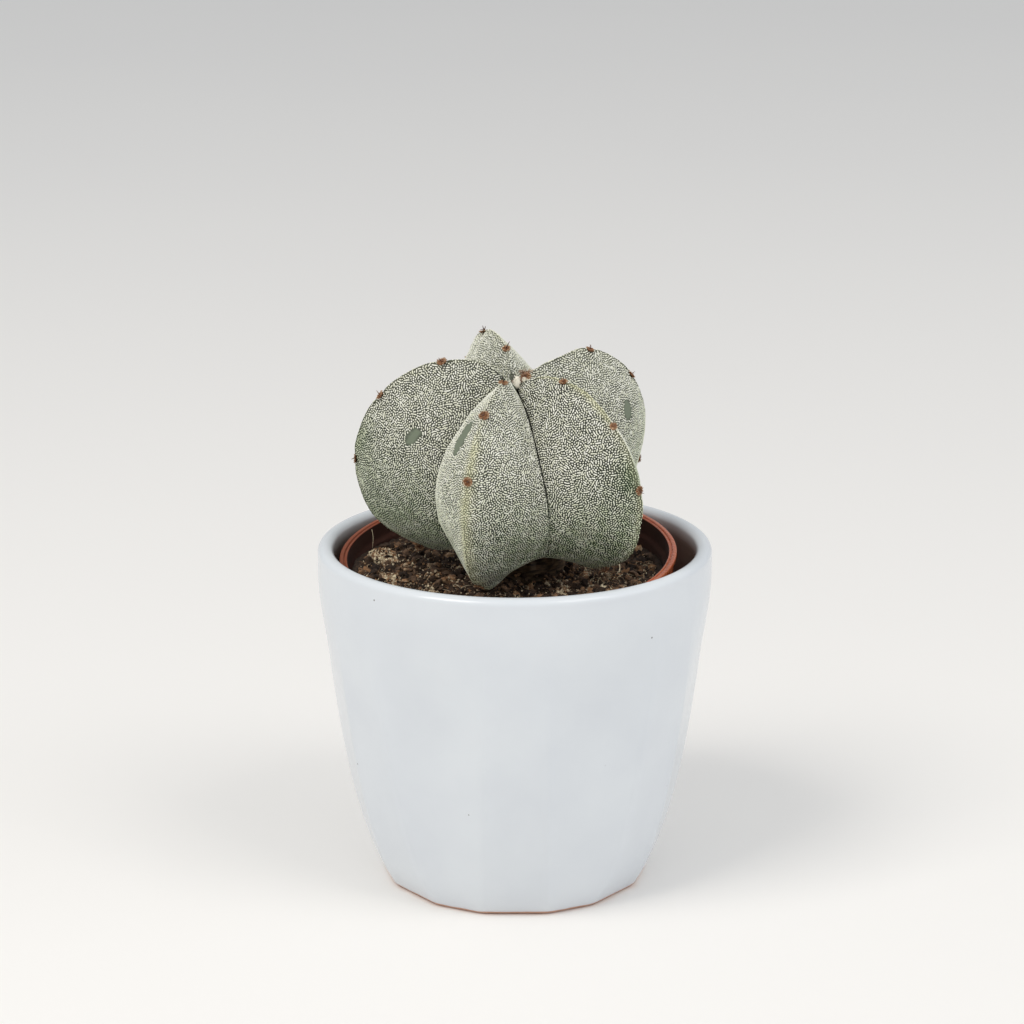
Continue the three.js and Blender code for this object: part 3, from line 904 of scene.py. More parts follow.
fleck = {
    "candidates": 360000,  # random places that the dots are chosen from
    "closest": 0.53,  # no two dots start nearer than this
    "apart": 0.93,  # nearer than this they push each other away
    "rounds": 5,
    "push": 0.25,
    "slip": 0.17,  # mm from the nearest of the candidates
    "joinReach": 0.95,
    "joinAngle": 38,  # from the direction of flow
    "joinShare": 0.27,
    "mostDots": 3,
    "halfWidth": 0.21,
    "height": 0.13,
    "sunk": 0.02,
    "narrowerLow": 0.15,  # share of the width that they lose low down and in green places
    "narrowerGreen": 0.2,
    "last": 0.95,  # share of the way down where they end
    "edgeFrom": 0.8,  # from here down the crest is a bare edge, this share of a flank wide
    "clearOfEdge": 0.02,
    "clearOfGroove": 0.06,  # mm without flecks, here and below
    "clearOfAreoles": 1.6,
    "clearOfCrown": 1.9,
    "clearOfRubbed": 0.35,
    "flowLength": 16,
    "flowWaves": 7,
    "tip": 1.8,  # times the half width
    "top": 0.7,
    "loneWider": 0.12,
    "uneven": 0.15,
    "white": "#f4f4ea",
    "cream": "#dfe0cc",
    "crest": "#dcdab4",
    "low": "#b4c399",
}


def woolFlock():
    # Wool flecks: matte felt with no shine, off-white to cream, yellower on the crests and a
    # greyer green low down
    material, tree, shader = startMaterial("woolFlock", Roughness=1.0, Specular_IOR_Level=0.15)
    tints = {mark: fromHex(fleck[mark]) for mark in ("cream", "crest", "low")}
    tree.links.new(tinted(tree, fromHex(fleck["white"]), tints), shader.inputs["Base Color"])
    return material


def flowDirections(points, normals, draw):
    # unit directions in the surface that turn slowly from place to place
    total = np.zeros(len(points))
    for _ in range(fleck["flowWaves"]):
        wave = draw.normal(size=3)
        wave *= 2 * np.pi / fleck["flowLength"] / np.linalg.norm(wave)
        total += np.sin(points @ wave + draw.uniform(0, 2 * np.pi))
    first = np.cross(normals, (0.31, 0.11, 0.94))
    first /= np.linalg.norm(first, axis=1, keepdims=True)
    second = np.cross(normals, first)
    return np.cos(total)[:, None] * first + np.sin(total)[:, None] * second


def scatterOnSkin(points, faces, normals, marks, draw):
    # random places on the quads, evenly by area
    quads = np.array([f for f in faces if len(f) == 4])
    a, b, c, d = (points[quads[:, k]] for k in range(4))
    area = np.linalg.norm(np.cross(c - a, d - b), axis=1) / 2
    chosen = quads[draw.choice(len(quads), fleck["candidates"], p=area / area.sum())]
    u, v = draw.random((2, len(chosen), 1))
    weights = ((1 - u) * (1 - v), u * (1 - v), u * v, (1 - u) * v)

    def blend(values):
        return sum(w * values[chosen[:, k]] for k, w in enumerate(weights))

    normal = blend(normals)
    normal /= np.linalg.norm(normal, axis=1, keepdims=True)
    # columns of a flank's end belong to the next rib, so rib and side come from the first corner
    return blend(points), normal, np.column_stack([marks[chosen[:, 0], :2], blend(marks[:, 2:])])


def treeOf(places):
    tree = KDTree(len(places))
    for i, place in enumerate(places):
        tree.insert(place, i)
    tree.balance()
    return tree


def nearestDots(dots, count):
    # the numbers of each dot's nearest neighbours
    tree = treeOf(dots)
    return np.array([[near for _, near, _ in tree.find_n(dot, count + 1)] for dot in dots])[:, 1:]


def settleDots(places, normals, draw):
    # Evenly spaced dots: a random choice of places with no two too near, which then push each
    # other apart along the skin. Gives their places and the numbers of the skin's places under them.
    skin = treeOf(places)
    free = np.full(len(places), True)
    chosen = []
    for i in draw.permutation(len(places)):
        if free[i]:
            chosen.append(i)
            for _, near, _ in skin.find_range(places[i], fleck["closest"]):
                free[near] = False
    seats = np.array(chosen)
    dots = places[seats]
    for _ in range(fleck["rounds"]):
        around = nearestDots(dots, 7)
        away = dots[:, None] - dots[around]
        distance = np.maximum(np.linalg.norm(away, axis=2), 0.05)
        together = (normals[seats][:, None] * normals[seats[around]]).sum(2) > 0.3  # on one flank
        push = fleck["push"] * np.clip(fleck["apart"] - distance, 0, None) * together
        dots = dots + (away * (push / distance)[..., None]).sum(1)
        seats = np.array([skin.find(dot)[1] for dot in dots])
        gap = dots - places[seats]
        gap -= (gap * normals[seats]).sum(1)[:, None] * normals[seats]
        gap *= np.minimum(1, fleck["slip"] / np.maximum(np.linalg.norm(gap, axis=1), 0.01))[:, None]
        dots = places[seats] + gap
    return dots, seats


def joinDots(dots, directions, draw):
    # neighbours that follow each other along the flow join into worms of a few dots
    around = nearestDots(dots, 6)
    step = dots[around] - dots[:, None]
    distance = np.linalg.norm(step, axis=2)
    least = math.cos(math.radians(fleck["joinAngle"])) * distance
    fits = (step * directions[:, None]).sum(2) > least
    fits &= (step * directions[around]).sum(2) > least
    fits &= (distance < fleck["joinReach"]) & (draw.random(distance.shape) < fleck["joinShare"])
    pairs = [(int(i), int(around[i, k])) for i, k in np.argwhere(fits)]
    worms = [[i] for i in range(len(dots))]
    for k in draw.permutation(len(pairs)):
        i, j = pairs[k]
        tail, head = worms[i], worms[j]
        fitting = tail is not head and tail[-1] == i and head[0] == j
        if fitting and len(tail) + len(head) <= fleck["mostDots"]:
            tail += head
            for dot in head:
                worms[dot] = tail
    return list({id(worm): worm for worm in worms}.values())


def wormMesh(worms, places, normals, directions, widths, draw):
    # every worm as a low flat ridge through its dots, four points across, with a tip at each end
    chain = np.concatenate(worms)
    owner = np.repeat(np.arange(len(worms)), [len(w) for w in worms])
    new = owner[1:] != owner[:-1]
    first, last = np.append(True, new), np.append(new, True)
    dot = places[chain]
    uneven = draw.uniform(1 - fleck["uneven"], 1 + fleck["uneven"], len(chain))
    wide = (widths[chain] * (1 + fleck["loneWider"] * (first & last)) * uneven)[:, None]
    tip = fleck["tip"] * wide * directions[chain]
    before = np.where(first[:, None], dot - tip, np.roll(dot, 1, 0))
    after = np.where(last[:, None], dot + tip, np.roll(dot, -1, 0))
    ahead = (after - before) / np.linalg.norm(after - before, axis=1, keepdims=True)
    knots = np.stack([(3 * dot + before) / 4, (3 * dot + after) / 4], 1).reshape(-1, 3)
    ahead, normal, wide, owner = (np.repeat(v, 2, axis=0) for v in (ahead, normals[chain], wide, owner))
    starts, ends = 2 * np.flatnonzero(first), 2 * np.flatnonzero(last) + 1
    aside = np.cross(normal, ahead) * wide
    foot, crest = knots - fleck["sunk"] * normal, knots + fleck["height"] * normal
    count = len(knots)
    top = fleck["top"] * aside
    points = np.vstack([foot + aside, crest + top, crest - top, foot - aside,
                        foot[starts] - (ahead * wide)[starts], foot[ends] + (ahead * wide)[ends]])
    a, b, c, d = (np.arange(count) + k * count for k in range(4))
    tail, head = 4 * count + np.arange(len(starts)), 4 * count + len(starts) + np.arange(len(ends))
    i = np.setdiff1d(np.arange(count), ends)
    quads = [(d[i], d[i + 1], c[i + 1], c[i]), (c[i], c[i + 1], b[i + 1], b[i]),
             (b[i], b[i + 1], a[i + 1], a[i])]
    fans = [(tail, d[starts], c[starts]), (tail, c[starts], b[starts]), (tail, b[starts], a[starts]),
            (head, c[ends], d[ends]), (head, b[ends], c[ends]), (head, a[ends], b[ends])]
    faces = [tuple(f) for group in quads + fans for f in np.column_stack(group).tolist()]
    return points, faces, np.concatenate([owner] * 4 + [owner[starts], owner[ends]])


def buildFlecks(points, faces, normals, marks, keepClear):
    draw = np.random.default_rng(7)
    places, normal, spots = scatterOnSkin(points, faces, normals, marks, draw)
    _, _, across, along = spots.T
    usable = (along < fleck["last"]) & (fromGroove(places, across) > fleck["clearOfGroove"])
    usable &= rubbedShare(places, spots, fleck["clearOfRubbed"]) < 0.5
    usable &= (along <= fleck["edgeFrom"]) | (across >= fleck["clearOfEdge"])
    for centre, radius in keepClear:
        usable &= np.linalg.norm(places - centre, axis=1) > radius
    dots, seats = settleDots(places[usable], normal[usable], draw)
    normal, spots = normal[usable][seats], spots[usable][seats]
    rib, _, across, along = spots.T
    directions = flowDirections(dots, normal, draw)
    tints = tintMarks(dots, spots)
    loss = fleck["narrowerLow"] * tints["low"] + fleck["narrowerGreen"] * greenShare(dots)
    widths = fleck["halfWidth"] * (1 - loss)
    worms = joinDots(dots, directions, draw)
    material = woolFlock()
    for r, shape in enumerate(plant["ribs"]):
        own = [w for w in worms if rib[w[0]] == r]
        made, wormFaces, owner = wormMesh(own, dots, normal, directions, widths, draw)
        starts = [w[0] for w in own]
        shares = {
            "cream": draw.uniform(0, 1, len(own))[owner],
            # the crest share includes the painted highlight along the right rib's crest
            "crest": 0.9 * tints["crest"][starts][owner],
            # the low share includes the green patches that also paint shade
            "low": 0.8 * tints["low"][starts][owner],
        }
        addPiece("flecks_" + shape["name"], inPot(made), wormFaces, material, marks=shares)
        print("flecks on the", shape["name"], "rib:", len(own), "worms,", len(wormFaces), "faces")


# Areoles: brown felt cushions on the crests, each with a few dry spines

areole = {
    "halfWidth": 1.65,
    "halfLength": 1.3,
    "height": 0.3,
    "hairs": 150,
    "hairLength": (0.3, 0.7),
    "hairRadii": (0.10, 0.04),  # at the foot and at the tip
    "spines": (1, 2),
    "spineLength": (0.9, 1.9),
    "spineRadii": (0.24, 0.05),
    "longRadii": (0.26, 0.07),
    "longSpines": [
        {"rib": 3, "number": 0, "aim": (0.35, -0.3, 1), "length": 3.0},
        {"rib": 3, "number": 1, "aim": (-0.25, -0.1, 1), "length": 2.0},
        {"rib": 3, "number": 1, "aim": (0.25, -0.1, 1), "length": 1.8},
    ],
    "woolTones": [(0, "#5c3c2b"), (0.35, "#9a6b4b"), (0.62, "#bd9878"), (1, "#e6dabc")],
    "spineColour": "#4a2e22",
    "palestSpine": "#9c7358",
}


def dryWool(name, tones):
    # Felt of dead plant hairs: matte, each tuft its own shade
    material, tree, shader = startMaterial(name, Roughness=0.95, Specular_IOR_Level=0.2)
    place = addNode(tree, "ShaderNodeTexCoord").outputs["Object"]
    cloud = addNode(tree, "ShaderNodeTexNoise", {"Vector": place, "Scale": 1500.0, "Detail": 3.0})  # 0.7 mm
    tree.links.new(tonedColour(tree, cloud, 0.8, 0.4, tones), shader.inputs["Base Color"])
    return material


def hornSpine():
    # Spines: dry horn, dark brown and slightly glossy, each with its own shade
    material, tree, shader = startMaterial("hornSpine", Roughness=0.45, IOR=1.54)
    colour = tinted(tree, fromHex(areole["spineColour"]), {"tone": fromHex(areole["palestSpine"])})
    tree.links.new(colour, shader.inputs["Base Color"])
    return material


def areoleSeats():
    # every areole: rib, along, its place on the crest, outward and downward directions
    seats = []
    for r, shape in enumerate(plant["ribs"]):
        for along in shape["areoles"]:
            ends = bodyPoint(np.array([r] * 3), np.array([1] * 3), np.zeros(3),
                             np.array([along, along - 0.005, along + 0.005]))
            down = Vector(ends[2] - ends[1]).normalized()
            angle = math.radians(shape["direction"])
            aside = Vector((-math.sin(angle), math.cos(angle), 0))
            outward = down.cross(aside)
            if outward.dot(Vector((math.cos(angle), math.sin(angle), 0.6))) < 0:
                outward.negate()
            seats.append((r, along, Vector(ends[0]), outward, down, aside))
    return seats


def cushion(centre, outward, down, aside, half, height, seed, rings=6, sides=18, sunk=0.35):
    # a low lumpy dome, closed below and sunk a little
    points = []
    for i in range(rings):
        lift = math.sin(math.pi / 2 * i / rings)
        spread = math.cos(math.pi / 2 * i / rings)
        for k in range(sides):
            turn = 2 * math.pi * k / sides
            lumpPlace = Vector((2.2 * math.cos(turn), 2.2 * math.sin(turn), 1.7 * i + seed))
            lump = 1 + 0.28 * noise.noise(lumpPlace)
            points.append(centre + (half[0] * spread * lump * math.cos(turn)) * aside
                          + (half[1] * spread * lump * math.sin(turn)) * down
                          + (height * lift * lump - sunk) * outward)
    stack = np.reshape([tuple(p) for p in points], (rings, sides, 3))
    bottom, top = centre - sunk * outward, centre + (height - sunk) * outward
    points, faces = closedStack(stack, tuple(bottom), tuple(top))
    if aside.cross(down).dot(outward) < 0:
        faces = [tuple(reversed(f)) for f in faces]
    return points, faces


def curvedLine(start, aim, droop, length, steps=4):
    # points along a hair that starts along aim and droops
    points, p, heading = [], start.copy(), aim.normalized()
    for _ in range(steps):
        points.append(p.copy())
        p += heading * (length / (steps - 1))
        heading = (heading + droop / steps).normalized()
    return points


def anyWay(draw):
    return Vector([draw.uniform(-1, 1) for _ in range(3)])


def buildAreoles(seats):
    draw = random.Random(21)
    wool, spines = [], []
    for n, (r, along, place, outward, down, aside) in enumerate(seats):
        size = draw.uniform(0.85, 1.1)
        half = (areole["halfWidth"] * size * draw.uniform(0.8, 1.15), areole["halfLength"] * size)
        centre = place - 0.25 * outward
        felt = cushion(centre, outward, down, aside, half, areole["height"] * size, 10 * n)
        wool.append((*felt, draw.uniform(0.1, 0.5)))
        for _ in range(areole["hairs"]):
            turn, out = draw.uniform(0, 2 * math.pi), math.sqrt(draw.random())
            spread = math.cos(turn) * aside + math.sin(turn) * down
            foot = centre + out * 0.85 * (half[0] * math.cos(turn) * aside + half[1] * math.sin(turn) * down)
            aim = outward * draw.uniform(0.0, 0.35) + spread * draw.uniform(0.3, 1.2)
            droop = anyWay(draw) * 1.1 - outward * 0.5
            length = size * draw.uniform(*areole["hairLength"])
            hair = strand(curvedLine(foot, aim, droop, length), *areole["hairRadii"])
            wool.append((*hair, draw.uniform(0, 0.5) + 0.45 * out ** 2))
        for long in areole["longSpines"]:
            if (r, along) == (long["rib"], plant["ribs"][r]["areoles"][long["number"]]):
                line = curvedLine(centre, Vector(long["aim"]), Vector((0.1, 0, 0)), long["length"], 6)
                spines.append((*strand(line, *areole["longRadii"], 6), 0.1))
        for _ in range(draw.randint(*areole["spines"])):
            aim = outward + 0.9 * anyWay(draw)
            droop = anyWay(draw) * 1.2
            length = size * draw.uniform(*areole["spineLength"])
            spine = strand(curvedLine(centre, aim, droop, length, 6), *areole["spineRadii"], 6)
            spines.append((*spine, draw.uniform(0, 0.7)))
    points, faces, marks = joined(wool)
    addPiece("areole_wool", inPot(points), faces, dryWool("dryAreoleWool", areole["woolTones"]),
             marks=marks)
    points, faces, marks = joined(spines)
    addPiece("spines", inPot(points), faces, hornSpine(), marks=marks)
    print("areoles:", len(seats))


# Crown: fresh cream wool between the inner ends of the ribs

crownWool = {
    # place in the plant's frame, half widths, height, and tone: 1 is fresh and cream, 0 dry and brown
    "tufts": [
        {"at": (-1.4, -2.1, -0.6), "half": (1.1, 1.1), "height": 3.5, "tone": 1.15},
        {"at": (0.8, -1.3, 0.6), "half": (0.6, 0.6), "height": 1.2, "tone": 1.1},
        {"at": (-0.2, -0.2, 0.2), "half": (0.8, 0.8), "height": 1.2, "tone": 0.3},
        {"at": (1.6, 2.4, 0.6), "half": (2.0, 1.4), "height": 1.3, "tone": 0.28},
        {"at": (-2.2, 0.4, -0.8), "half": (0.7, 0.7), "height": 0.9, "tone": 0.1},
    ],
    "hairs": 70,
    "hairRadii": (0.08, 0.03),
    "woolTones": [(0, "#6b4736"), (0.35, "#a8836b"), (0.6, "#d8bf9f"), (0.75, "#f3e8cd"), (1, "#fbf5e6")],
}


def buildCrown():
    draw = random.Random(33)
    wool = []
    up, aside, back = Vector((0, 0, 1)), Vector((1, 0, 0)), Vector((0, -1, 0))
    for n, tuft in enumerate(crownWool["tufts"]):
        foot, half, height = Vector(tuft["at"]), tuft["half"], tuft["height"]
        wool.append((*cushion(foot, up, back, aside, half, height, 50 + n), tuft["tone"]))
        for _ in range(crownWool["hairs"]):
            turn, lift = draw.uniform(0, 2 * math.pi), draw.random()
            lean = Vector((math.cos(turn), math.sin(turn), 0))
            out = 0.85 * math.sqrt(1 - lift ** 2)
            start = foot + out * Vector((half[0] * lean.x, half[1] * lean.y, 0)) + 0.8 * lift * height * up
            line = curvedLine(start, up + lean, lean - 0.6 * up, half[0] * draw.uniform(0.5, 0.9))
            hair = strand(line, *crownWool["hairRadii"])
            wool.append((*hair, tuft["tone"] + draw.uniform(-0.2, 0.2)))
    points, faces, marks = joined(wool)
    addPiece("crown_wool", inPot(points), faces, dryWool("freshCrownWool", crownWool["woolTones"]),
             marks=marks)
    print("crown:", len(crownWool["tufts"]), "tufts")


def buildCactus():
    points, faces, marks = skinMesh()
    normals = pointNormals(points, faces)
    points = sculpt(points, normals, marks)
    normals = pointNormals(points, faces)
    addPiece("cactus_body", inPot(points), faces, cactusSkin(), "cactus",
             marks=tintMarks(points, marks))
    print("body:", len(faces), "faces")
    seats = areoleSeats()
    keepClear = [(np.array(place), fleck["clearOfAreoles"]) for _, _, place, *_ in seats]
    keepClear.append((np.array(plant["hollow"]["at"]), fleck["clearOfCrown"]))
    buildFlecks(points, faces, normals, marks, keepClear)
    buildAreoles(seats)
    buildCrown()


# Compost: dark peat with crumbs, pale bits of bark and pumice, and fine dry roots

compost = {
    # level although its pot leans
    "edgeHeight": 100.9,
    "middleHeight": 98.8,
    "middle": (-2.2, -1.9),
    "radius": 48,
    "gap": 0.3,
    "neckPlace": (3.4, 0.9),
    "neckRadius": 13.6,
    "unevenness": 0.8,
    "lumps": {"height": 0.75, "perMm": 0.55},
    "peatTone": 0.15,
    "rings": 90,
    "sides": 260,
    "crumbs": 3000,
    "crumbSize": (0.3, 2.1),
    "grains": 5200,
    "grainSize": (0.16, 0.42),
    # heaps of pale crumbs: place, spread to the sides and in depth, and how many
    "paleHeaps": [
        {"at": (-41.7, 10.9), "spread": (5, 9.5), "crumbs": 420},
        {"at": (-39.3, -11.9), "spread": (4, 7.5), "crumbs": 300},
        {"at": (-33.4, 2.6), "spread": (2.4, 4), "crumbs": 60},
        {"at": (-27.1, 3.7), "spread": (2.4, 4), "crumbs": 50},
        {"at": (-18.1, 1.6), "spread": (2.4, 4), "crumbs": 45},
        {"at": (-25.5, -5.6), "spread": (2.6, 4), "crumbs": 60},
        {"at": (-18.9, -10.3), "spread": (3, 4), "crumbs": 60},
        {"at": (-26.5, -22.9), "spread": (3, 4), "crumbs": 70},
        {"at": (15.1, -21.4), "spread": (2.6, 5), "crumbs": 130},
        {"at": (27, -24.5), "spread": (3.4, 4), "crumbs": 60},
        # these pale crumbs also paint light into the plant's shade between the front and right ribs
        {"at": (13, -12.5), "spread": (4, 4), "crumbs": 170},
        {"at": (24, 31), "spread": (5, 5), "crumbs": 90},
        {"at": (-20, 34), "spread": (5, 5), "crumbs": 80},
    ],
    "heapLift": 1.5,
    "heapCrumbSize": (0.25, 0.75),
    # single bits: place, radius and tone
    "stones": [
        {"at": (21.7, -15.7), "size": 1.5, "tone": 0.2},
        {"at": (15.2, -1.2), "size": 0.9, "tone": 1.1},
    ],
    "tones": [(0, "#241b17"), (0.25, "#46362b"), (0.45, "#715a48"), (0.6, "#9a7250"), (0.78, "#b8a48b"),
              (1, "#efe0c0")],
    # crumbs heaped against the neck: how many, how far out, how high and their size
    "neckHeap": {"crumbs": 420, "spread": 4.5, "lift": 3.2, "size": (0.35, 1.0)},
}


def soilHeight(x, y):
    # how high the compost stands, higher at its edge and uneven in between
    x, y = x - compost["middle"][0], y - compost["middle"][1]
    out = np.minimum(1, np.hypot(x, y) / compost["radius"])
    level = between(compost["middleHeight"], compost["edgeHeight"], out ** 3)
    broad = np.sin(x * 0.61 + y * 0.23) * np.sin(y * 0.57 - x * 0.19)
    fine = np.sin(x * 1.3 + 2) * np.sin(y * 1.1)
    return level + compost["unevenness"] * (broad + fine) * (1 - out ** 6)


def ontoSoil(flat):
    # places (x, y) in the leaning pot's own frame, each with the height of the compost's level top
    points = np.column_stack([flat, np.full(len(flat), growerPot["bandBottom"])])
    for _ in range(2):
        place = fromGrower(points)
        points[:, 2] += (soilHeight(place[:, 0], place[:, 1]) - place[:, 2]) / growerTurn[2, 2]
    return points


def dampPeat():
    # Peat with bits of bark, fibre and pumice: nearly black where damp, through brown and rust
    # to grey and cream; each crumb has its own tone
    material, tree, shader = startMaterial("dampPeat", Roughness=0.92, Specular_IOR_Level=0.3)
    place = addNode(tree, "ShaderNodeTexCoord").outputs["Object"]
    # specks 1 mm wide
    speckle = addNode(tree, "ShaderNodeTexNoise", {
        "Vector": place, "Scale": 900.0, "Detail": 5.0, "Roughness": 0.65,
    })
    bump = addNode(tree, "ShaderNodeBump", {
        "Height": speckle.outputs["Fac"], "Strength": 0.6, "Distance": 0.0005,
    })
    tree.links.new(tonedColour(tree, speckle, 0.9, 0.45, compost["tones"]), shader.inputs["Base Color"])
    tree.links.new(bump.outputs[0], shader.inputs["Normal"])
    return material


def buildSoil(material):
    # a closed body: base, side, the uneven top and the hole that the root stands in
    gap, lumps = compost["gap"], compost["lumps"]
    bottom = growerPot["bottom"] + growerPot["wall"] + gap
    turn = evenTurns(compost["sides"])
    circle = np.column_stack([np.cos(turn), np.sin(turn)])
    edge = ontoSoil(circle * compost["radius"])[:, 2]
    rings = []
    for share in np.linspace(0, 1, 12):
        height = between(bottom, edge - 0.4, share)
        rings.append(np.column_stack([circle * (growerInside(height) - gap)[:, None], height]))
    wall = circle * (growerInside(edge) - gap)[:, None]
    neckMiddle = (np.append(compost["neckPlace"], compost["middleHeight"]) - growerPot["place"]) @ growerTurn
    neck = circle * compost["neckRadius"] + neckMiddle[:2]
    for share in np.linspace(0, 1, compost["rings"]):
        flat = between(wall, neck, share)
        rough = [noise.fractal(Vector((*xy, 3)), 0.9, 2.1, 4) for xy in lumps["perMm"] * flat]
        ring = ontoSoil(flat)
        ring[:, 2] += lumps["height"] * np.array(rough) * (1 - 0.5 * share)
        rings.append(ring)
    axis = plantTurn @ (0, 0, -1) @ growerTurn
    hole = rings[-1].mean(0)
    for (radius, height), depth in zip(plant["rootLine"][1:], (4, 8, 15, 21, 24)):
        centre = hole + axis * depth
        rings.append(ringAt(*(circle * (radius + gap) + centre[:2]).T, centre[2]))
    points, faces = closedStack(rings, (0, 0, bottom), rings[-1].mean(0))
    addPiece("peat", fromGrower(points), faces, material, "compost",
             marks={"tone": np.full(len(points), compost["peatTone"])})
    print("peat:", len(faces), "faces")


def crumbShapes(draw, count=12):
    # a few irregular crumbs with 20 faces, to be turned and scaled
    golden = (1 + 5 ** 0.5) / 2
    corners = [(-1, golden, 0), (1, golden, 0), (-1, -golden, 0), (1, -golden, 0),
               (0, -1, golden), (0, 1, golden), (0, -1, -golden), (0, 1, -golden),
               (golden, 0, -1), (golden, 0, 1), (-golden, 0, -1), (-golden, 0, 1)]
    faces = [(0, 11, 5), (0, 5, 1), (0, 1, 7), (0, 7, 10), (0, 10, 11), (1, 5, 9), (5, 11, 4),
             (11, 10, 2), (10, 7, 6), (7, 1, 8), (3, 9, 4), (3, 4, 2), (3, 2, 6), (3, 6, 8),
             (3, 8, 9), (4, 9, 5), (2, 4, 11), (6, 2, 10), (8, 6, 7), (9, 8, 1)]
    shapes = []
    for _ in range(count):
        rough = np.array(corners) / np.linalg.norm(corners[0])
        rough = rough * np.array([[draw.uniform(0.6, 1.25)] for _ in corners])
        rough = rough * (1, draw.uniform(0.6, 1), draw.uniform(0.45, 0.9))
        shapes.append((rough, faces))
    return shapes


def grainForms(draw, count=12):
    # small angular grains with eight faces
    corners = np.array([(1, 0, 0), (0, 1, 0), (-1, 0, 0), (0, -1, 0), (0, 0, 1), (0, 0, -1)], float)
    faces = [(0, 1, 4), (1, 2, 4), (2, 3, 4), (3, 0, 4), (1, 0, 5), (2, 1, 5), (3, 2, 5), (0, 3, 5)]
    return [(corners * np.array([[draw.uniform(0.6, 1.3)] for _ in corners]), faces) for _ in range(count)]


def crumb(draw, shapes, x, y, size, tone, lift=0.0):
    # one of the shapes, turned at random and half sunk in the compost, or lifted
    points, faces = shapes[draw.randrange(len(shapes))]
    turn = Matrix.Rotation(draw.uniform(0, 6.3), 3, "X") @ Matrix.Rotation(draw.uniform(0, 6.3), 3, "Z")
    height = float(soilHeight(x, y))
    return points @ np.array(turn) * size + (x, y, height + 0.25 * size + lift), faces, tone


def onSoil(draw, margin=1.5):
    # a random free place on the compost, outside the neck
    while True:
        out = (compost["radius"] - margin) * math.sqrt(draw.random())
        turn = draw.uniform(0, 2 * math.pi)
        x, y = compost["middle"][0] + out * math.cos(turn), compost["middle"][1] + out * math.sin(turn)
        if math.dist((x, y), compost["neckPlace"]) > compost["neckRadius"] + 0.5:
            return x, y


def buildCrumbs(material):
    draw = random.Random(5)
    shapes = crumbShapes(draw)
    grainShapes = grainForms(draw)
    darkOnes, grains, paleOnes = [], [], []
    for _ in range(compost["crumbs"]):
        x, y = onSoil(draw)
        size = between(*compost["crumbSize"], draw.random() ** 4)
        darkOnes.append(crumb(draw, shapes, x, y, size, 0.65 * draw.random() ** 1.4))
    for _ in range(compost["grains"]):
        x, y = onSoil(draw)
        size = draw.uniform(*compost["grainSize"])
        grains.append(crumb(draw, grainShapes, x, y, size, draw.uniform(0.1, 1), 0.5 * draw.random()))
    heap = compost["neckHeap"]
    for _ in range(heap["crumbs"]):
        out = heap["spread"] * draw.random() ** 1.5
        turn = draw.uniform(0, 2 * math.pi)
        reach = compost["neckRadius"] + 0.4 + out
        x = compost["neckPlace"][0] + reach * math.cos(turn)
        y = compost["neckPlace"][1] + reach * math.sin(turn)
        lift = heap["lift"] * (1 - out / heap["spread"]) ** 1.5 * draw.random()
        darkOnes.append(crumb(draw, shapes, x, y, draw.uniform(*heap["size"]), 0.6 * draw.random(), lift))
    for heap in compost["paleHeaps"]:
        for _ in range(heap["crumbs"]):
            out = draw.random() ** 0.6
            turn = draw.uniform(0, 2 * math.pi)
            x = heap["at"][0] + heap["spread"][0] * out * math.cos(turn)
            y = heap["at"][1] + heap["spread"][1] * out * math.sin(turn)
            if math.dist((x, y), compost["middle"]) > compost["radius"] - 0.8:
                continue
            lift = compost["heapLift"] * (1 - out) * draw.random()
            size = draw.uniform(*compost["heapCrumbSize"])
            paleOnes.append(crumb(draw, grainShapes, x, y, size, draw.uniform(0.35, 1.1), lift))
    for stone in compost["stones"]:
        paleOnes.append(crumb(draw, shapes, *stone["at"], stone["size"], stone["tone"], 0.3))
    for name, crumbs in (("peat_crumbs", darkOnes), ("peat_grains", grains), ("pale_crumbs", paleOnes)):
        points, faces, marks = joined(crumbs)
        addPiece(name, points, faces, material, marks=marks, smooth=False)
        print(name, len(crumbs))


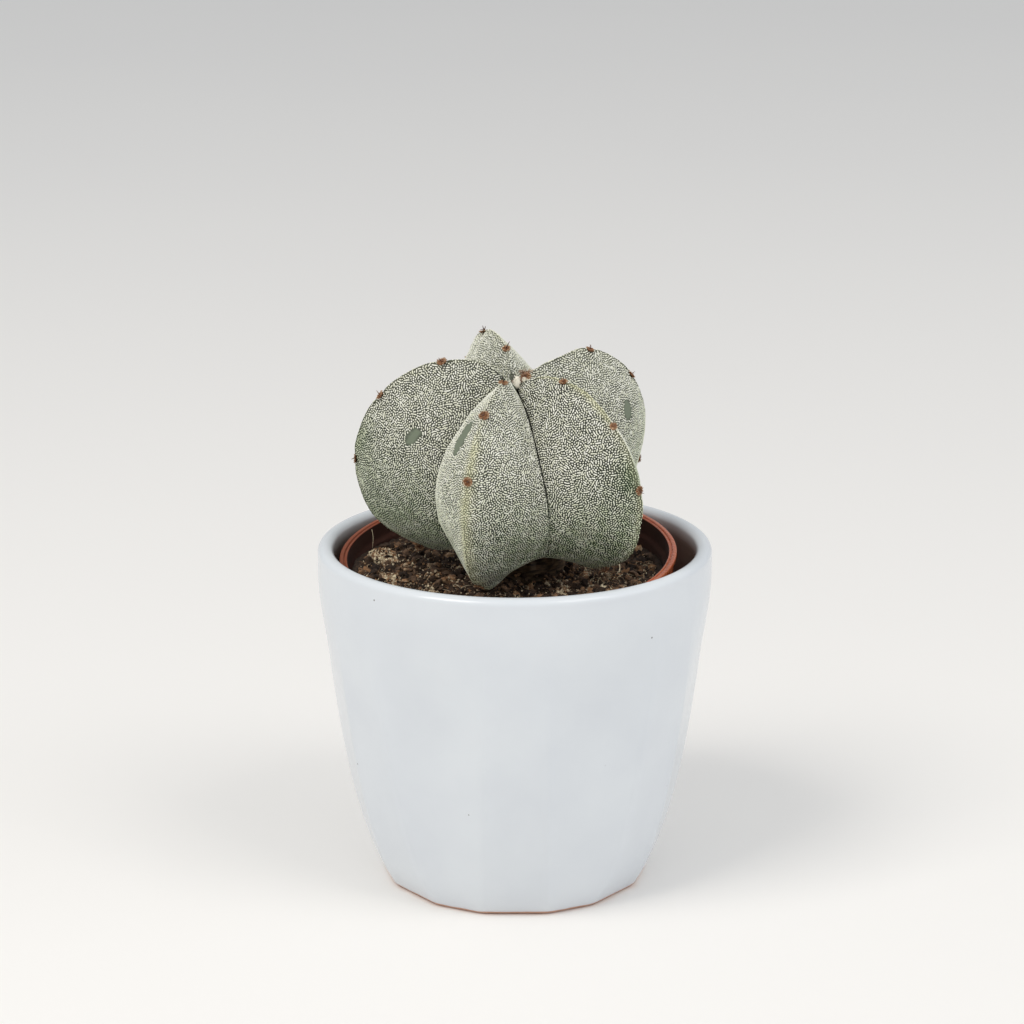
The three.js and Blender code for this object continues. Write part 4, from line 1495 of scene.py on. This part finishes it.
roots = {
    "fibres": 900,
    "fibreLength": (1.5, 5),
    "fibreRadius": (0.07, 0.16),
    "tangle": {"at": (28, -9.5), "spread": 5, "count": 34, "length": (4, 8), "radius": (0.1, 0.22)},
    # single pale hairs: one on the inner pot's wall, at its own heights, then one out from under the
    # right rib and one curled root, with heights above the compost
    "hairs": [
        {"line": [(-45.6, 20.4, 107), (-45.2, 19.8, 104.5), (-45.4, 19, 101.3)],
         "thick": 0.1, "onSoil": 0},
        {"line": [(17, 12, 0), (19.5, 5, 0.8), (22, -1.5, 0.8), (23.8, -7.5, 0)],
         "thick": 0.12, "onSoil": 1},
        {"line": [(31.5, 5.5, 0.1), (32.8, 0.5, 1.3), (32.4, -6, 1.1), (30.4, -11, 0.6), (30.8, -15, 0)],
         "thick": 0.24, "onSoil": 1},
    ],
}


def buildRoots(material):
    draw = random.Random(17)
    fibres = []
    for _ in range(roots["fibres"]):
        x, y = onSoil(draw, 3)
        height = float(soilHeight(x, y))
        turn = draw.uniform(0, 2 * math.pi)
        aim = Vector((math.cos(turn), math.sin(turn), draw.uniform(0.1, 0.7)))
        droop = Vector((draw.uniform(-1, 1), draw.uniform(-1, 1), -0.9))
        line = curvedLine(Vector((x, y, height + 0.2)), aim, droop, draw.uniform(*roots["fibreLength"]), 6)
        fibres.append((*strand(line, draw.uniform(*roots["fibreRadius"]), 0.04), draw.uniform(0.2, 1)))
    tangle = roots["tangle"]
    for _ in range(tangle["count"]):
        x = tangle["at"][0] + draw.gauss(0, 0.45) * tangle["spread"]
        y = tangle["at"][1] + draw.gauss(0, 0.45) * tangle["spread"]
        aim = Vector((draw.uniform(-0.6, 0.6), draw.uniform(-1, 0.2), draw.uniform(0.2, 0.9)))
        droop = Vector((draw.uniform(-1, 1), draw.uniform(-1.2, 0.2), -1.6))
        start = Vector((x, y, float(soilHeight(x, y)) + 0.5))
        line = curvedLine(start, aim, droop, draw.uniform(*tangle["length"]), 7)
        fibres.append((*strand(line, draw.uniform(*tangle["radius"]), 0.05), draw.uniform(0.5, 1)))
    for hair in roots["hairs"]:
        line = smoothCurve(hair["line"], np.linspace(0, 1, 14))
        line[:, 2] += hair["onSoil"] * (soilHeight(line[:, 0], line[:, 1]) + 0.3)
        fibres.append((*strand(line, hair["thick"], 0.5 * hair["thick"], 5), 1))
    points, faces, marks = joined(fibres)
    addPiece("dry_roots", points, faces, material, marks=marks)
    print("roots:", len(fibres))


placeCamera()
buildStudio()
buildStonewarePot()
buildGrowerPot()
buildCactus()
peat = dampPeat()
buildSoil(peat)
buildCrumbs(peat)
buildRoots(peat)
